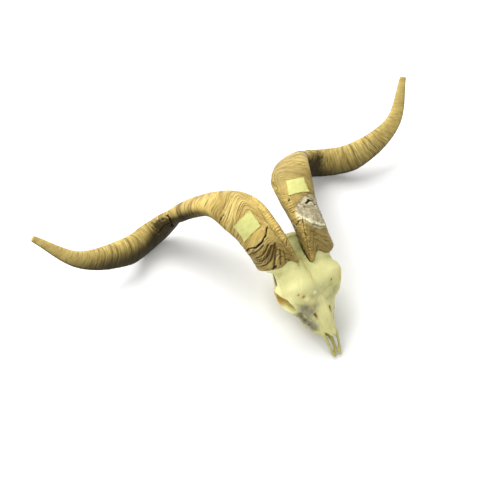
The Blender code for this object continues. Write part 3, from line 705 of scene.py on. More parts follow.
# %% Make the labels
LABEL_CORNERS = {
    "left": [(0.294, 117), (0.304, 67), (0.242, 73), (0.226, 138)],
    "right": [(0.240, 118), (0.178, 120), (0.174, 62), (0.249, 58)],
}
LABEL_CELLS = 24
LABEL_LIFT, LABEL_CORNER_LIFT, LABEL_WAVES = 0.9, 1.2, 0.30
LABEL_RAGGED = (0.0011, 1.0)
LABEL_GRAIN, LABEL_RIM = 9, 0.99
LABEL_THICKNESS = 0.3
LABEL_PLACE = np.array([0.24])


def apply_modifier(obj, kind, **settings):
    select_only(obj)
    modifier = obj.modifiers.new(kind.lower(), kind)
    for key, value in settings.items():
        setattr(modifier, key, value)
    bpy.ops.object.modifier_apply(modifier=modifier.name)


def face_away_from(obj, inside):
    """Turns the faces of an open sheet away from a point."""
    edit_all(obj, FACE_OUTWARDS)
    if normals_of(obj).mean(0) @ (points_of(obj).mean(0) - inside) < 0:
        edit_all(obj, (bpy.ops.mesh.flip_normals, {}))


def make_label(side_name):
    obj, flat = flat_grid("paper_" + side_name, LABEL_CELLS, LABEL_CELLS)
    u, v = ((flat[:, :2] + 1) / 2).T[:, :, None]
    edge = np.maximum(np.abs(flat[:, 0]), np.abs(flat[:, 1]))
    a, b, c, d = (np.array(corner, float) for corner in LABEL_CORNERS[side_name])
    skin = (a * (1 - u) + b * u) * (1 - v) + (d * (1 - u) + c * u) * v
    skin += np.outer(noise(flat * LABEL_GRAIN, 2.0, 31) * (edge > LABEL_RIM), LABEL_RAGGED)
    corner = step_up(1.1, 1.414, np.hypot(flat[:, 0], flat[:, 1]))
    lift = LABEL_LIFT + LABEL_CORNER_LIFT * corner
    lift = lift + LABEL_WAVES * noise(flat * LABEL_GRAIN, 3.0, 32)
    set_points(obj, horn_surface(side_name, skin[:, 0], np.radians(skin[:, 1]), lift))
    keep_values(obj, edge=edge)
    middle = smooth_values(HORN_LINE[side_name], LABEL_PLACE)[0]
    face_away_from(obj, middle * np.array([SIDES[side_name], 1, 1]))
    apply_modifier(obj, "SOLIDIFY", thickness=LABEL_THICKNESS, offset=-1.0)
    lay_down(obj)
    smooth_look(obj, 40)
    print(obj.name, len(obj.data.polygons), "faces")
    return obj


labels = {side_name: make_label(side_name) for side_name in SIDES}

# %% [markdown]
# ## The bone, drawn as bars and balls
#
# A skull is grown from many plates and bars that have fused. It could be sculpted from one
# ball, but bars drawn through a few stations keep every width and height in plain sight. Each
# bar is a rolled grid, each ball a sphere primitive with three radii. They overlap freely,
# because a Boolean makes one body of them next.

# %% Bars and balls
BAR_STEPS = 8
BAR_REACH = 0.01
BAR_LEAST = 0.4
BALL_SEGMENTS, BALL_RINGS = 36, 22


def new_home(name):
    home = bpy.data.collections.new(name)
    bpy.context.scene.collection.children.link(home)
    return home


bone_pieces = new_home("bone_pieces")
bone_cuts = new_home("bone_cuts")


def move_to(obj, home):
    for used in list(obj.users_collection):
        used.objects.unlink(obj)
    home.objects.link(obj)


def bar(name, stations, home=bone_pieces, up=(0, 0, 1), sides=28, power=2.0):
    """A smooth closed bar through stations (x, y, z, half width, half height)."""
    table = np.array(stations, float)
    rows = (len(stations) - 1) * BAR_STEPS + 2

    def surface(angle, row):
        place = np.clip((row - 1) / (rows - 2), 0, 1)
        here = smooth_values(table[:, :3], place)
        ahead = direction(table[:, :3], place, BAR_REACH)
        across = unit(np.cross(ahead, up))
        size = np.maximum(smooth_values(table[:, 3:], place), BAR_LEAST)
        size *= ((row > 0) & (row < rows))[:, None]
        round_it = np.stack([np.cos(angle), np.sin(angle)], axis=1)
        wide, high = (np.sign(round_it) * np.abs(round_it) ** (2 / power) * size).T
        return here + across * wide[:, None] + np.cross(across, ahead) * high[:, None]

    obj = rolled_grid(name, sides, rows, surface)
    merge_shut(obj)
    move_to(obj, home)


def bar_pair(name, stations, **options):
    for side_name, side in SIDES.items():
        bar(name + "_" + side_name, [(side * s[0],) + tuple(s[1:]) for s in stations], **options)


def ball(name, centre, radii, turn=(0, 0, 0), home=bone_pieces):
    """A sphere primitive stretched to three radii and turned by degrees about x, y and z."""
    bpy.ops.object.select_all(action="DESELECT")
    bpy.ops.mesh.primitive_uv_sphere_add(segments=BALL_SEGMENTS, ring_count=BALL_RINGS, radius=1.0,
                                         location=centre, scale=radii,
                                         rotation=[math.radians(a) for a in turn])
    obj = bpy.context.object
    obj.name = name
    bpy.ops.object.transform_apply(location=True, rotation=True, scale=True)
    move_to(obj, home)


def ball_pair(name, centre, radii, turn=(0, 0, 0), home=bone_pieces):
    for side_name, side in SIDES.items():
        ball(name + "_" + side_name, (side * centre[0],) + tuple(centre[1:]), radii,
             (turn[0], side * turn[1], side * turn[2]), home)


print("bar and ball ready")

# %% The roof: frontals, nasals and their thin tips
bar("frontals", [(0, 104, 73, 25, 11), (0, 116, 78, 40, 12), (0, 130, 83, 54.5, 14),
                 (0, 145, 86, 62.5, 15.5), (0, 158, 87, 59.5, 17.5), (0, 172, 88, 53.5, 18),
                 (0, 188, 86, 46, 18), (0, 204, 81, 33, 17), (0, 220, 74, 22, 15)], sides=44)
bar("nasals", [(0, 46, 46, 9, 6), (0, 60, 51, 13, 10), (0, 78, 59, 16, 13), (0, 96, 68, 19, 14),
               (0, 114, 76, 22, 13), (0, 130, 82, 22, 12)], sides=36)
bar("nasal_front", [(0, 39.5, 49.6, 3.6, 1.2), (0, 44, 50.8, 5.0, 2.0), (0, 50, 52.2, 6.0, 2.8),
                    (0, 60, 54, 7, 4)])
bar_pair("nasal_tip", [(2.6, 37, 49.5, 1.4, 1.1), (3.8, 42, 50.6, 3.4, 1.9),
                       (4.8, 50, 52.4, 4.8, 2.6), (5.5, 60, 54.5, 6.0, 4.0)])

# %% The face: maxillae, cheek ridges, tear bones and palate
bar("face_core", [(0, 58, 41, 13, 10), (0, 72, 46, 19, 18), (0, 86, 51, 26, 23),
                  (0, 98, 56, 33, 24), (0, 108, 62, 40, 23), (0, 118, 66, 40, 18)], sides=44,
    power=2.2)
bar("orbit_core", [(0, 108, 60, 26, 26), (0, 124, 64, 22, 26), (0, 142, 67, 19, 26),
                   (0, 160, 68, 22, 26), (0, 180, 66, 30, 28)], sides=36, power=2.3)
bar_pair("maxilla", [(13.5, 49, 34, 3.2, 5), (16, 60, 30, 6, 11), (20.5, 76, 29, 8.5, 16.5),
                     (25, 94, 32, 10.5, 21), (27, 112, 36, 10.5, 24), (26.5, 128, 37, 9, 20),
                     (24, 138, 34, 5, 12)], power=2.3)
ball_pair("facial_tuber", (31, 95, 37), (5.0, 16, 6), (8, 0, -16))
bar_pair("cheek_ridge", [(29, 82, 37, 4, 6), (35, 98, 42, 5, 8), (43, 110, 46, 5, 8),
                         (51.5, 120, 48, 4, 7)])
bar_pair("tear_bone", [(20, 96, 60, 8, 9), (28, 104, 64, 9, 11), (36, 111, 68, 9, 11),
                       (44, 119, 74, 6, 7)], up=(-0.5, -0.3, 1))
bar("palate", [(0, 44, 27, 12, 2.5), (0, 60, 25, 15, 3), (0, 90, 24, 20, 3.5),
               (0, 118, 25, 22, 3.5), (0, 128, 26, 18, 3)])

# %% The snout's two prongs and their inner bars
bar_pair("premaxilla", [(5.0, 0, 21.5, 2.8, 2.2), (6.8, 8, 23, 3.8, 2.8), (9.0, 20, 26, 3.6, 3.0),
                        (11, 34, 30, 3.7, 3.8), (12.5, 48, 36, 3.9, 6), (13.6, 62, 45, 3.2, 6.5),
                        (14.5, 74, 52, 2.8, 4)])
bar_pair("inner_bar", [(4.8, 9, 23.5, 3.0, 2.0), (2.8, 16, 24, 2.4, 2.2), (2.2, 30, 26, 2.3, 2.4),
                       (2.4, 46, 27, 3.0, 2.8)])

# %% The eye sockets, the cheekbones and the bars behind the eyes
ORBIT_RIM = [(54.5, 130, 82), (62, 144, 82.5), (64.5, 156, 76), (63.5, 158, 65), (62, 147, 55.5),
             (59.5, 131, 50.5), (50.5, 116, 51), (43, 108, 60), (43.5, 110, 72), (47.5, 119, 80)]
bar_pair("orbit_rim", [point + (3.2, 3.6) for point in ORBIT_RIM + ORBIT_RIM[:2]],
         up=(0.88, -0.45, 0.16), sides=18)
bar_pair("cheekbone", [(35.5, 104, 50, 5, 9), (45.5, 113, 49, 4.5, 8), (54.5, 126, 48, 4, 7),
                       (58.5, 140, 51, 4, 6.5), (59.5, 150, 54, 3.5, 6)], up=(0.5, -0.3, 1),
         sides=20)
bar_pair("orbit_floor", [(40, 108, 54, 12, 4), (44, 120, 50, 12, 3), (48, 132, 50, 10, 2.5),
                         (52, 144, 53, 7, 2.5), (55, 152, 55, 4, 2)], up=(0.45, -0.2, 1), sides=22)
bar_pair("cheek_arch", [(58.5, 142, 51, 3.6, 6.5), (58.5, 154, 55, 3.6, 6.5),
                        (55, 167, 57, 3.2, 5.5), (49.5, 182, 57, 3.4, 5.0), (43, 196, 57, 5.5, 6),
                        (35, 206, 56, 8, 7)], sides=20)
bar_pair("bar_behind_orbit", [(53, 160, 83, 8, 6), (58.5, 161, 75, 5, 5.5), (60.5, 160, 65, 4.4, 5),
                              (58.5, 158, 57, 5, 5)], up=(0, 1, 0), sides=22)
ball_pair("rim_corner", (60.5, 156, 79), (5.0, 6.0, 6.0))
bar_pair("temple_ridge", [(51, 160, 89, 6, 4), (53.5, 169, 88, 4.5, 4), (52.5, 179, 87, 5.5, 4.5),
                          (50, 190, 86, 6, 5)], sides=20)

# %% The braincase, the back of the skull and its base
ball("braincase", (0, 202, 66), (36, 42, 34))
bar("parietals", [(0, 170, 84, 30, 16), (0, 190, 82, 27, 19), (0, 212, 76, 27, 20),
                  (0, 232, 68, 30, 20), (0, 239, 64, 28, 16)], sides=36)
ball("occiput", (0, 231, 52), (34, 13, 32), (-8, 0, 0))
bar("nuchal_crest", [(-37, 221, 56, 3.5, 3), (-32, 229, 70, 3.5, 3), (-18, 235.5, 81.5, 3.5, 3),
                     (0, 238.5, 85, 4, 3.2), (18, 235.5, 81.5, 3.5, 3), (32, 229, 70, 3.5, 3),
                     (37, 221, 56, 3.5, 3)], up=(0, 1, 0.3))
bar("occipital_ridge", [(0, 239, 84, 3, 4), (0, 245, 68, 3, 4), (0, 243, 54, 2, 3)], up=(0, 1, 0))
ball_pair("ear_region", (35, 211, 47), (8, 13, 14))
bar_pair("ear_tube", [(32, 206, 42, 5, 5), (44, 203, 46, 4.5, 4.5)], up=(0, 1, 0))
bar("skull_base", [(0, 132, 36, 8, 6), (0, 160, 34, 10, 7), (0, 188, 32, 13, 8),
                   (0, 214, 30, 15, 8), (0, 240, 29, 13, 7)])
bar_pair("wing_bone", [(9, 132, 30, 2.2, 10), (10, 146, 30, 2.4, 12), (11, 162, 35, 3, 9),
                       (14, 178, 38, 5, 6)])
ball_pair("ear_bulla", (21, 203, 24), (7, 12, 10), (-12, 0, 10))
bar_pair("jugular_process", [(28, 226, 40, 8, 6), (30, 231, 26, 6.5, 4.5), (30, 235, 13, 5, 3.4),
                             (28, 235, 5, 3, 2.4)], up=(0, 1, 0.2))
ball_pair("condyle", (13, 238.5, 29), (8.5, 8, 12), (24, 0, 30))

# %% [markdown]
# ## Horn cores and seats
#
# Under each sheath the frontal bone grows a core. It leans back out of the brow and ends
# inside the sheath's cup. The same rows that shape the sheath, a little larger, are later cut
# out of the bone, so that the sheath sits in the bone with a thin dark gap and never in it.

# %% Cores, and cutters for the sheaths
CORE_ROWS = [(-44.0, 0.0), (-44.0, 0.25), (-32.0, 0.50), (-20.0, 0.72), (-9.0, 0.90), (0.0, 1.0),
             (9.0, 1.0), (21.0, 0.97), (28.0, 0.80), (31.0, 0.45), (31.0, 0.0)]
SEAT_ROWS = [(depth, -SHEATH_WALL, share) for depth, share in CUP_ROWS[1:-1]]
SEAT_ROWS = [(30.0, 0.0, 0.0), *SEAT_ROWS, (-0.3, -SHEATH_WALL, 1.0), (-0.3, 0.4, 1.0),
             (3.0, 0.9, 1.0), (20.0, 0.9, 1.0), (60.0, 0.9, 1.0), (60.0, 0.0, 0.0)]
CORE_INSET, SEAT_GAP = 3.0, 0.4
CORE_COLUMNS = 72

core_table, seat_table = np.array(CORE_ROWS), np.array(SEAT_ROWS)
for side_name in SIDES:
    def core_point(angle, row):
        depth, share = core_table[row].T
        grow = np.where(share > 0, -CORE_INSET, 0.0)
        return horn_surface(side_name, depth / HORN_LENGTH, angle, grow, share)

    def seat_point(angle, row):
        depth, grow, share = seat_table[row].T
        inner = grow < -1
        return horn_surface(side_name, depth / HORN_LENGTH, angle, grow - SEAT_GAP * inner, share)

    for name, rows, point, home in (("core", core_table, core_point, bone_pieces),
                                    ("seat", seat_table, seat_point, bone_cuts)):
        made = rolled_grid(name + "_" + side_name, CORE_COLUMNS, len(rows) - 1, point)
        merge_shut(made)
        move_to(made, home)

# %% [markdown]
# ## Openings
#
# The nose, the slots in the snout, the eye sockets, the temples, the palate and the hole for
# the spine are cut out. Cutting closed bars from a closed body keeps it closed, which editing
# faces by hand would not. The small holes for nerves and vessels and the slits beside the
# nasals are cut the same way.

# %% Cutters for the openings
def cut_bar(name, stations, **options):
    bar(name, stations, home=bone_cuts, **options)


def cut_bar_pair(name, stations, **options):
    bar_pair(name, stations, home=bone_cuts, **options)


cut_bar("nasal_opening", [(0, 16, 33, 7, 7), (0, 36, 37.5, 9.5, 9.5), (0, 52, 40, 9.5, 9),
                          (0, 72, 42, 8, 8), (0, 84, 42, 4, 5)])
cut_bar_pair("palate_slot", [(4.7, 13, 26, 1.0, 9), (5.4, 17, 26, 2.3, 9), (6.1, 25, 28, 3.1, 9),
                             (6.5, 33, 29, 2.7, 9), (6.3, 39, 29, 1.2, 9)])
cut_bar_pair("orbit_hollow", [(78, 126, 71, 19, 17), (60, 134.5, 68, 18.5, 15.5),
                              (46, 142, 67.5, 17.5, 14.5), (34, 148, 67, 13, 12.5),
                              (24, 152, 68, 5, 5)], sides=36)
cut_bar_pair("temple_hollow", [(52, 152, 70, 5, 5), (48, 164, 67, 8, 10), (46, 176, 66, 8, 12),
                               (45, 190, 68, 6, 11), (45, 198, 70, 3, 6)])
cut_bar("palate_hollow", [(0, 58, 19, 9, 4), (0, 84, 17, 13, 7), (0, 116, 17, 17, 8),
                          (0, 134, 20, 12, 9), (0, 150, 25, 7, 8)])
cut_bar_pair("palate_side_hollow", [(13, 138, 24, 1.5, 8), (15, 152, 26, 3, 9),
                                    (18, 166, 26, 3, 8)])
ball("spinal_hole", (0, 246, 41), (9.5, 32, 9.5), (8, 0, 0), bone_cuts)
ball_pair("jaw_socket", (40, 192, 48), (7, 6, 3), home=bone_cuts)
cut_bar("tear_slit_right", [(-14.2, 77, 69, 0.9, 5), (-17, 85, 72, 1.5, 6),
                            (-20.6, 93, 76, 1.0, 5)])
cut_bar("tear_slit_left", [(12.2, 75, 70, 1.0, 5), (12.8, 84, 74, 1.7, 6), (13.8, 93, 78, 1.1, 5)])
ball("brow_hole_right", (-38.4, 131.5, 96), (2.3, 2.9, 5), home=bone_cuts)
ball("brow_hole_left", (32, 131, 97), (2.2, 2.8, 5), home=bone_cuts)
ball("front_hole_right", (-30, 124.5, 93), (3.6, 2.6, 4), (0, 0, 35), bone_cuts)
ball("front_hole_left", (25, 122, 93), (2.6, 2.2, 3.4), (0, 0, -35), bone_cuts)
ball_pair("cheek_hole", (22, 71, 28), (5, 3.0, 1.9), (0, 0, 20), bone_cuts)
ball_pair("palate_hole", (9, 112, 20), (1.6, 2.2, 5), home=bone_cuts)
ball_pair("ear_hole", (50, 202, 46.5), (7, 2.6, 2.6), home=bone_cuts)

# %% [markdown]
# ## One body of bone
#
# The manifold Boolean joins all pieces and takes all cutters away. Its edges are hard, as if
# cut with a knife, and bone is never so. A voxel Remesh turns the body into an even mesh and a
# few rounds of smoothing round it off. Loose crumbs are thrown away by their size.

# %% Join, cut, remesh and smooth
BONE_VOXEL = 1.32
BONE_SMOOTHING = 5


def keep_largest(obj):
    edit_all(obj, (bpy.ops.mesh.separate, {"type": "LOOSE"}))
    parts = sorted(bpy.context.selected_objects, key=lambda part: len(part.data.vertices))
    for part in parts[:-1]:
        bpy.data.objects.remove(part, do_unlink=True)
    return parts[-1]


def boolean(obj, home, operation):
    apply_modifier(obj, "BOOLEAN", operation=operation, operand_type="COLLECTION", collection=home,
                   solver="MANIFOLD")
    for used in list(home.objects):
        bpy.data.objects.remove(used, do_unlink=True)


bone = bone_pieces.objects["braincase"]
move_to(bone, bpy.context.scene.collection)
boolean(bone, bone_pieces, "UNION")
boolean(bone, bone_cuts, "DIFFERENCE")
bone = keep_largest(bone)
apply_modifier(bone, "REMESH", mode="VOXEL", voxel_size=BONE_VOXEL)
apply_modifier(bone, "SMOOTH", factor=0.5, iterations=BONE_SMOOTHING)
bone = keep_largest(bone)
bone.name = "bone"
print("bone:", len(bone.data.polygons), "faces")

# %% [markdown]
# ## Sutures, grooves and relief
#
# Where two skull bones meet there is a thin wavy line, the suture. Each is drawn as a few
# points and pulled onto the bone. The distance to it, with a sign for the side, is kept on
# the mesh: the relief sinks a fine groove there and the material colours it. Grooves for
# vessels, ridges for muscles and a gentle unevenness are added in the same way.

# %% Lines on the bone
def both_sides(points):
    return [[(side * x, y, z) for x, y, z in points] for side in SIDES.values()]


SUTURES = [(0.30, [(0, 41, 51), (0, 60, 61), (0, 90, 80), (0, 116, 90)]),
           (0.35, [(0, 116, 90), (-1, 128, 96), (-3, 140, 99)]),
           (0.75, [(-3, 140, 99), (-1, 150, 102), (1, 160, 103), (0, 172, 105), (1, 188, 103)])]
for strength, points in (
        (0.60, [(0, 117, 90), (5, 114, 89), (11, 106, 83), (16.5, 96, 73)]),
        (0.45, [(13.5, 79, 67), (13, 66, 58), (11.5, 52, 52), (9, 44, 50)]),
        (0.40, [(14.5, 76, 55), (16, 64, 46), (17, 54, 38), (15.5, 46, 31)]),
        (0.35, [(17.5, 96, 72), (24, 104, 76), (34, 113, 80), (43, 118, 82), (47, 121, 82)]),
        (0.45, [(17.5, 95, 70), (26, 96, 60), (33, 99, 53), (42, 107, 55), (44, 108, 58)]),
        (0.35, [(33, 99, 53), (36, 99, 46), (38, 103, 38), (40, 110, 34)]),
        (0.90, [(0, 189, 103), (10, 193, 101), (20, 199, 96), (30, 203, 86), (35, 204, 74)]),
        (0.60, [(35, 204, 74), (36, 196, 62), (35, 184, 54)]),
        (0.60, [(35, 204, 74), (38, 214, 66), (38, 221, 58)]),
        (0.60, [(61, 162, 70), (57, 158, 66), (62, 154, 66)]),
        (0.60, [(0, 108, 20), (9, 107, 20), (17, 112, 22)])):
    SUTURES += [(strength, line) for line in both_sides(points)]
SUTURES.append((0.60, [(0, 46, 24), (0, 70, 21), (0, 100, 20), (0, 126, 22)]))

GROOVES = [(line, 1.5, 0.8) for line in
           both_sides([(31, 124, 93), (28, 118, 89), (24, 110, 84), (21, 100, 76), (18, 92, 68)])
           + both_sides([(33, 136, 98), (30, 146, 102), (24, 156, 104)])
           + both_sides([(22, 70, 30), (18, 60, 30), (15, 52, 31)])]
GROOVES += [(line, 2.2, -0.9) for line in
            both_sides([(47, 168, 88), (38, 184, 94), (26, 202, 94), (18, 222, 88), (12, 234, 86)])
            + both_sides([(30, 84, 37), (35, 96, 40), (43, 108, 44), (52, 120, 46)])]


print(len(SUTURES), "sutures and", len(GROOVES), "grooves and ridges")

# %% Sink the sutures and grooves
LINE_STEP, LINE_REACH = 0.8, 7.0
SUTURE_WIDTH, SUTURE_DEPTH = 1.0, 0.65
TINY = 1e-9


def nearest_on_line(points, normals, line):
    """Signed distance from points to a line pulled onto the bone, up to LINE_REACH."""
    length = np.linalg.norm(np.diff(np.array(line, float), axis=0), axis=1).sum()
    drawn = smooth_values(line, np.linspace(0, 1, max(int(length / LINE_STEP), 8)))
    drawn = np.array([bone.closest_point_on_mesh(Vector(p))[1] for p in drawn])
    ahead = unit(np.gradient(drawn, axis=0) + TINY)
    signed = np.full(len(points), LINE_REACH)
    low, high = drawn.min(0) - LINE_REACH, drawn.max(0) + LINE_REACH
    near = np.where(((points > low) & (points < high)).all(1))[0]
    apart = points[near, None] - drawn[None]
    distance = np.linalg.norm(apart, axis=2)
    index = distance.argmin(1)
    rows = np.arange(len(near))
    side = np.sign((np.cross(normals[near], ahead[index]) * apart[rows, index]).sum(1) + TINY)
    signed[near] = np.minimum(distance[rows, index], LINE_REACH) * side
    return signed


points, normals = points_of(bone), normals_of(bone)
suture = np.full(len(points), LINE_REACH)
seam_strength = np.zeros(len(points))
for strength, line in SUTURES:
    signed = nearest_on_line(points, normals, line)
    nearer = np.abs(signed) < np.abs(suture)
    suture = np.where(nearer, signed, suture)
    seam_strength = np.where(nearer, strength, seam_strength)
height = -SUTURE_DEPTH * seam_strength * bump(suture, 0, SUTURE_WIDTH)
for line, half_width, depth in GROOVES:
    height -= depth * bump(nearest_on_line(points, normals, line), 0, half_width)
print("points near a suture:", int((np.abs(suture) < 1.5).sum()))

# %% Pits, swellings and unevenness
SWELLINGS = [
    ((0, 150, 104), (9, 34, 12), -2.2), ((0, 186, 104), (13, 26, 12), -2.6),
    ((-25, 119, 89), (4, 4, 5), 1.0), ((-8.4, 122.4, 94.5), (2.2, 2.2, 3), 0.8),
    ((-36, 127, 93), (5, 3, 4), 0.6),
]
PAIRED_SWELLINGS = [
    ((22, 152, 104), (12, 18, 12), 2.2), ((26, 128, 96), (16, 5, 9), -0.9),
    ((42, 163, 98), (8, 12, 8), -1.2), ((32, 104, 68), (10, 9, 10), -2.8),
    ((46, 146, 100), (12, 9, 9), 1.0), ((8, 80, 70), (6, 24, 8), 1.3),
    ((20, 116, 88), (12, 7, 8), -1.2), ((18, 136, 98), (14, 12, 8), 0.8),
    ((27, 86, 46), (7, 12, 8), -1.8), ((15, 70, 58), (4, 20, 6), -1.0),
    ((33, 140, 100), (12, 12, 8), 1.0), ((50, 150, 96), (5, 5, 5), -0.6),
]
for side in SIDES.values():
    SWELLINGS += [((side * x, y, z), radii, lift) for (x, y, z), radii, lift in PAIRED_SWELLINGS]
ROOT_PITCH, ROOT_START, ROOT_HEIGHT = 11.5, 61, 0.7
ROUGHNESS = [(9, 41, 0.22), (4.2, 42, 0.16), (2.4, 43, 0.10)]


def soft_balls(points, balls):
    """Sum of soft balls, each with a centre, three radii and a strength."""
    total = np.zeros(len(points))
    for centre, radii, strength in balls:
        total += strength * np.exp(-(((points - centre) / radii) ** 2).sum(1))
    return total


height += soft_balls(points, SWELLINGS)
x, y, z = points.T
roots = bump(z, 18, 9) * step_up(9, 16, np.abs(x)) * step_up(60, 72, y) * (1 - step_up(128, 136, y))
height += ROOT_HEIGHT * roots * np.cos(2 * math.pi * (y - ROOT_START) / ROOT_PITCH)
rough = 0.5 + 0.9 * step_up(205, 235, y) + 0.4 * step_up(60, 30, z)
height += rough * sum(share * noise(points, size, seed) for size, seed, share in ROUGHNESS)
set_points(bone, points + normals * height[:, None])
print("relief from", round(height.min(), 2), "to", round(height.max(), 2), "mm")

# %% [markdown]
# ## Stains, shade and the slight bend
#
# Old bone is not one colour. It is rust brown round the eyes and along the sutures, greenish
# between the horns, grey on the sheltered side of the face and yellow where it was handled.
# Painted shade is mixed into the green between the horns, into the grey of the face and into a
# dark mark in holes, slits and along the snout, and painted highlights light the eye rims, brow
# and nasals. Each of these is a soft ball in the skull's frame. How sheltered a point lies is
# measured with rays, and painted shade darkens it by that. Last, the snout is bowed and the brow
# leant a little to the left, as the real skull is, and the piece is laid down.

# %% Stains, painted shade and painted highlights on the bone
STAINS_AND_PAINTED_LIGHT = {
    "rust": [((-1, 152, 103), (2.6, 18, 12), 0.40), ((0, 184, 104), (3.0, 12, 12), 0.35),
             ((-22, 108, 84), (5, 4, 5), 0.25), ((-57, 136, 88), (5, 8, 5), 0.35),
             ((-34, 127, 93), (8, 4, 6), 0.40), ((-12, 108, 84), (4, 5, 6), 0.35),
             ((-38.5, 131.5, 94), (3, 3.4, 5), 0.5), ((-30, 124.5, 92), (3, 2.6, 5), 0.5),
             ((32, 131, 95), (3, 3, 5), 0.5), ((-58, 141, 58), (13, 11, 13), 1.0),
             ((-42, 146, 66), (20, 15, 15), 1.0), ((58, 141, 58), (13, 11, 13), 0.9),
             ((42, 146, 66), (20, 15, 15), 0.9), ((-17.5, 85, 72), (2.6, 9, 6), 0.9),
             ((12.8, 84, 74), (2.4, 9, 6), 0.9), ((54, 128, 86), (5, 16, 6), 0.55),
             ((-62, 158, 66), (5, 10, 10), 0.55), ((-49, 182, 56), (6, 12, 6), 0.5)],
    # A greenish tint between the horns, with painted shade in the trough there.
    "green_and_shade": [((0, 204, 98), (30, 24, 22), 1.0), ((2, 176, 104), (11, 14, 12), 0.6),
              ((-16, 188, 104), (14, 8, 12), 0.35), ((-48, 160, 94), (12, 8, 10), 0.25),
              ((0, 232, 84), (24, 14, 16), 0.5)],
    # Grey staining, with painted shade on the right side of the face and across the brow.
    "grey_and_shade": [((-34, 98, 56), (17, 14, 19), 1.2), ((-28, 82, 45), (14, 18, 17), 1.2),
             ((-22, 68, 40), (9, 10, 12), 0.7), ((-23, 98, 77), (12, 9, 10), 0.95),
             ((-8, 102, 84), (9, 6, 8), 0.55), ((-34, 109, 77), (10, 8, 9), 0.85),
             ((-13, 118, 92), (13, 10, 8), 0.45), ((-1, 131, 97), (12, 14, 8), 0.35),
             ((12, 122, 94), (12, 10, 8), 0.35), ((18, 104, 78), (14, 7, 12), 0.45),
             ((36, 112, 80), (10, 8, 10), 0.35), ((28, 88, 46), (12, 18, 16), 0.5),
             ((-62, 158, 66), (6, 12, 12), 0.3)],
    "olive": [((0, 14, 24), (18, 26, 14), 1.0), ((0, 40, 34), (18, 14, 14), 0.7),
              ((0, 60, 24), (22, 40, 10), 0.4), ((30, 126, 93), (7, 9, 7), 0.6),
              ((34, 114, 84), (7, 7, 7), 0.6), ((-24, 66, 38), (8, 10, 8), 0.6),
              ((20, 152, 104), (9, 9, 9), 0.25)],
    # Painted shade in the holes, the slits and the spinal opening and along the snout's lower edge,
    # with a few dark streaks.
    "dark_and_shade": [((-37, 100, 50), (4, 9, 5), 0.85), ((-32, 86, 44), (4, 9, 5), 0.85),
             ((-27, 73, 40), (4, 8, 4), 0.65), ((-33, 97, 60), (2.5, 8, 2.5), 0.40),
             ((-22, 76, 60), (1.6, 8, 2.5), 0.35), ((0, 226, 40), (9, 12, 9), 0.9),
             ((-17.0, 85, 71), (2.1, 7.5, 6), 1.0), ((12.8, 84, 73), (1.5, 6, 5), 0.9),
             ((-30, 124.5, 91), (2.4, 1.6, 3), 0.9), ((-38.4, 131.5, 92), (1.5, 1.9, 3), 0.7),
             ((32, 131, 93), (1.5, 1.9, 3), 0.7), ((-2.5, 168, 104), (1.2, 9, 8), 0.35)],
    # Painted highlights on the eye rims, brow, nasals and face, and beside small holes.
    "painted_highlight": [((-57, 124, 52), (9, 8, 8), 1.0), ((-45, 113, 56), (9, 7, 8), 1.0),
               ((-61, 158, 81), (9, 11, 7), 1.0), ((-54, 132, 87), (10, 12, 7), 1.0),
               ((-46, 146, 100), (16, 14, 8), 0.6), ((-26, 180, 105), (16, 10, 10), 0.8),
               ((-50, 120, 57), (8, 8, 10), 1.0), ((44, 122, 58), (9, 9, 12), 0.4),
               ((-31, 93, 53), (3, 11, 3), 0.6), ((-24, 80, 50), (3, 10, 3), 0.5),
               ((30, 178, 100), (12, 10, 10), 0.5), ((-8.4, 122.4, 94.5), (2.6, 2.6, 4), 1.0),
               ((-25, 118, 89), (4.5, 4, 5), 0.9), ((-24, 150, 104), (18, 16, 12), 0.5),
               ((30, 152, 104), (18, 20, 12), 0.5), ((2, 88, 80), (8, 26, 12), 0.5)],
}
skull_frame = points_of(bone)
for stain_and_light, balls in STAINS_AND_PAINTED_LIGHT.items():
    keep_values(bone, **{stain_and_light: np.clip(soft_balls(skull_frame, balls), 0, 1)})
keep_values(bone, suture=suture, seam_strength=seam_strength)
print("stains:", sorted(STAINS_AND_PAINTED_LIGHT))

# %% How sheltered each point lies
RAYS = 14
RAY_START, REACH = 0.4, 32.0


def shelter(obj):
    """Share of rays round each normal that meet the piece itself within reach."""
    tree = BVHTree.FromObject(obj, bpy.context.evaluated_depsgraph_get())
    points, normals = points_of(obj), normals_of(obj)
    index = np.arange(RAYS) + 0.5
    tilt = np.sqrt(index / RAYS)
    turn = index * math.pi * (3 - math.sqrt(5))
    fan = np.stack([tilt * np.cos(turn), tilt * np.sin(turn), np.sqrt(1 - tilt ** 2)], axis=1)
    helper = np.where(np.abs(normals[:, :1]) < 0.7, [[1.0, 0, 0]], [[0, 1.0, 0]])
    across = unit(np.cross(normals, helper))
    beside = np.cross(normals, across)
    starts = points + normals * RAY_START
    hits = np.zeros(len(points))
    for x, y, z in fan:
        rays = across * x + beside * y + normals * z
        for k in range(len(points)):
            if tree.ray_cast(Vector(starts[k]), Vector(rays[k]), REACH)[0] is not None:
                hits[k] += 1
    return hits / RAYS


sheltered = shelter(bone)
keep_values(bone, sheltered=sheltered)
print("mean shelter:", round(float(sheltered.mean()), 3))

# %% Bend the skull and lay it down
SNOUT_BOW, BOW_AT, BOW_REACH = 3.5, 33, 20
BROW_LEAN, LEAN_AT, LEAN_REACH, LEAN_ABOVE = 0.075, 130, 28, 50


def bend_skull(obj):
    """Bows the snout to one side and lets the brow lean, as in the photo."""
    points = points_of(obj)
    points[:, 0] += SNOUT_BOW * bump(points[:, 1], BOW_AT, BOW_REACH)
    lean = BROW_LEAN * bump(points[:, 1], LEAN_AT, LEAN_REACH)
    points[:, 0] += lean * np.maximum(0, points[:, 2] - LEAN_ABOVE)
    set_points(obj, points)


